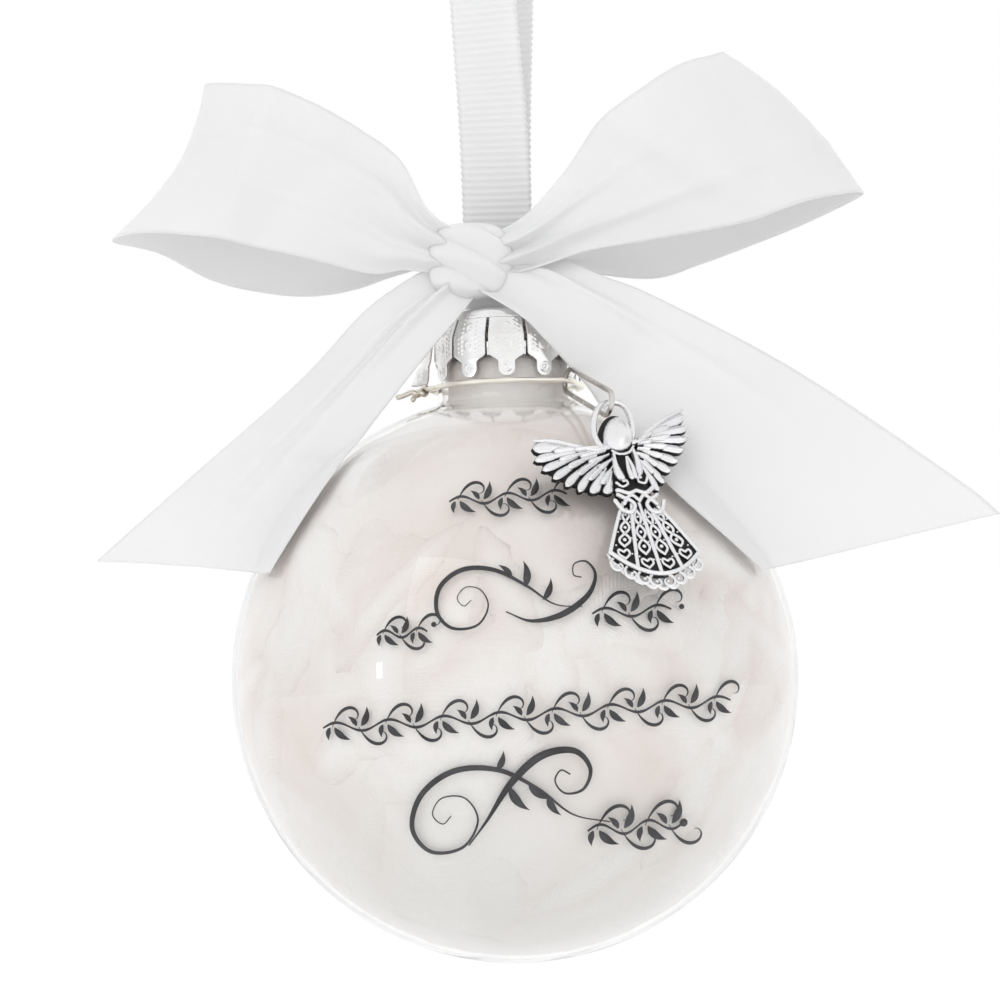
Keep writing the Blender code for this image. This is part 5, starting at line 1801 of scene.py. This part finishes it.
@dataclass
class Studio:
    """Camera, pale floor, soft lights and surroundings."""

    distance: float = 0.380
    aim: tuple[float, float] = (-1.47 * MM, 25.25 * MM)
    lens: float = 96.2
    roll: float = math.radians(1.5)
    lamp_aim: float = -0.11
    floor_level: float = -0.52
    floor_half_length: float = 7.0
    floor_half_width: float = 6.0
    floor_glow: float = 0.12

    def build_camera(self) -> None:
        """Place the camera in front of the ball's centre, aimed a little upwards and rolled a little."""
        data = bpy.data.cameras.new("front_camera")
        data.lens, data.sensor_width = self.lens, 36.0
        data.clip_start, data.clip_end = 0.01, 30.0
        camera = bpy.data.objects.new("front_camera", data)
        bpy.context.scene.collection.objects.link(camera)
        eye = Vector((0.0, -self.distance, BALL_CENTRE[2]))
        target = Vector((self.aim[0], 0.0, BALL_CENTRE[2] + self.aim[1]))
        back = (eye - target).normalized()
        lean = Vector((math.sin(self.roll), 0.0, math.cos(self.roll)))
        right = lean.cross(back).normalized()
        facing = Matrix((right, back.cross(right), back)).transposed().to_4x4()
        camera.matrix_world = Matrix.Translation(eye) @ facing
        bpy.context.scene.camera = camera

    def build_floor(self) -> None:
        """A pale floor below the hanging ornament that sweeps up far behind and in front of it."""
        rows, columns = 81, 9
        s = np.linspace(-1, 1, rows)[:, None]
        t = np.linspace(-self.floor_half_width, self.floor_half_width, columns)[None, :]
        y = self.floor_half_length * s + 0 * t
        z = self.floor_level + 4.0 * np.clip(np.abs(s) - 0.6, 0, 1) ** 2 + 0 * t
        mesh = bpy.data.meshes.new("pale_floor")
        grid = np.stack([t + 0 * s, y, z], axis=-1)
        corner = (np.arange(rows - 1)[:, None] * columns + np.arange(columns - 1)[None, :]).reshape(-1)
        quads = np.stack([corner, corner + 1, corner + columns + 1, corner + columns], axis=1)
        mesh.from_pydata(grid.reshape(-1, 3), [], quads.tolist())
        mesh.polygons.foreach_set("use_smooth", np.ones(len(mesh.polygons), bool))
        floor = bpy.data.objects.new("pale_floor", mesh)
        bpy.context.scene.collection.objects.link(floor)
        material = bpy.data.materials.new("pale_paper")
        material.use_nodes = True
        shader = material.node_tree.nodes["Principled BSDF"]
        shader.inputs["Base Color"].default_value = (0.93, 0.93, 0.93, 1)
        shader.inputs["Emission Color"].default_value = (1, 1, 1, 1)
        shader.inputs["Emission Strength"].default_value = self.floor_glow
        bench = NodeBench(material.node_tree)
        grain = bench.add("TexNoise", {"Scale": 40.0, "Detail": 4.0})
        rough = bench.range(grain.outputs[0], (0.3, 0.7), (0.85, 0.95))
        bench.feed(rough, shader, "Roughness")
        mesh.materials.append(material)

    def add_lamp(self, name: str, place: tuple[float, float, float], size: tuple[float, float], power: float,
                 mirrored: bool = True) -> None:
        """A rectangular soft lamp aimed at the ornament.

        Args:
            name: the lamp's name.
            place: where it stands, in metres from the bow.
            size: width and height, in metres.
            power: in watts.
            mirrored: whether it shows in glass and metal.
        """
        data = bpy.data.lights.new(name, "AREA")
        data.shape, data.size, data.size_y, data.energy = "RECTANGLE", size[0], size[1], power
        lamp = bpy.data.objects.new(name, data)
        bpy.context.scene.collection.objects.link(lamp)
        lamp.visible_glossy = mirrored
        spot = Vector((0.0, 0.0, self.lamp_aim))
        where = spot + Vector(place)
        facing = (spot - where).to_track_quat("-Z", "Y").to_matrix().to_4x4()
        lamp.matrix_world = Matrix.Translation(where) @ facing

    def build_world(self) -> None:
        """White all round for the eye; for light, a little brighter below and darker at the far sides."""
        world = bpy.data.worlds.new("white_studio")
        bpy.context.scene.world = world
        world.use_nodes = True
        bench = NodeBench(world.node_tree)
        world.node_tree.nodes.clear()
        out = bench.add("OutputWorld")
        way = bench.add("SeparateXYZ", {0: bench.add("TexCoord").outputs["Generated"]})
        rise = bench.range(way.outputs[2], (-1.0, 1.0), (1.14, 0.95))
        side = bench.sum("ABSOLUTE", way.outputs[0])
        flag = bench.range(side, (0.8, 0.98), (1.0, 0.72))
        light = bench.sum("MULTIPLY", rise, flag)
        soft = bench.add("Background", {"Color": (1, 1, 1, 1), "Strength": light})
        seen = bench.add("Background", {"Color": (1, 1, 1, 1), "Strength": 1.0})
        camera = bench.add("LightPath").outputs["Is Camera Ray"]
        mix = bench.add("MixShader", {0: camera, 1: soft.outputs[0], 2: seen.outputs[0]})
        bench.feed(mix.outputs[0], out, "Surface")

    def build(self) -> None:
        """Set up the whole studio."""
        self.build_camera()
        self.build_floor()
        self.build_world()
        self.add_lamp("key_panel", (-0.5, -0.8, 0.6), (0.5, 0.5), 1.45, mirrored=False)
        self.add_lamp("fill_panel", (0.8, -0.6, 0.1), (0.6, 0.8), 0.3)
        self.add_lamp("window_strip", (-0.75, -0.55, 0.02), (0.035, 0.09), 0.05)
        scene = bpy.context.scene
        scene.view_settings.view_transform = "Standard"
        scene.view_settings.look = "None"


def main() -> None:
    """Build the ornament's pieces in order, then the studio."""
    logging.basicConfig(level=logging.INFO, format="%(name)s %(message)s")
    finishes = Finishes()
    HangingRibbon().build(finishes)
    CrownCap().build(finishes)
    SatinBow().build(finishes)
    GlassBall().build(finishes)
    NeckWire().build(finishes)
    AngelCharm().build(finishes)
    Studio().build()


if __name__ == "__main__":
    main()
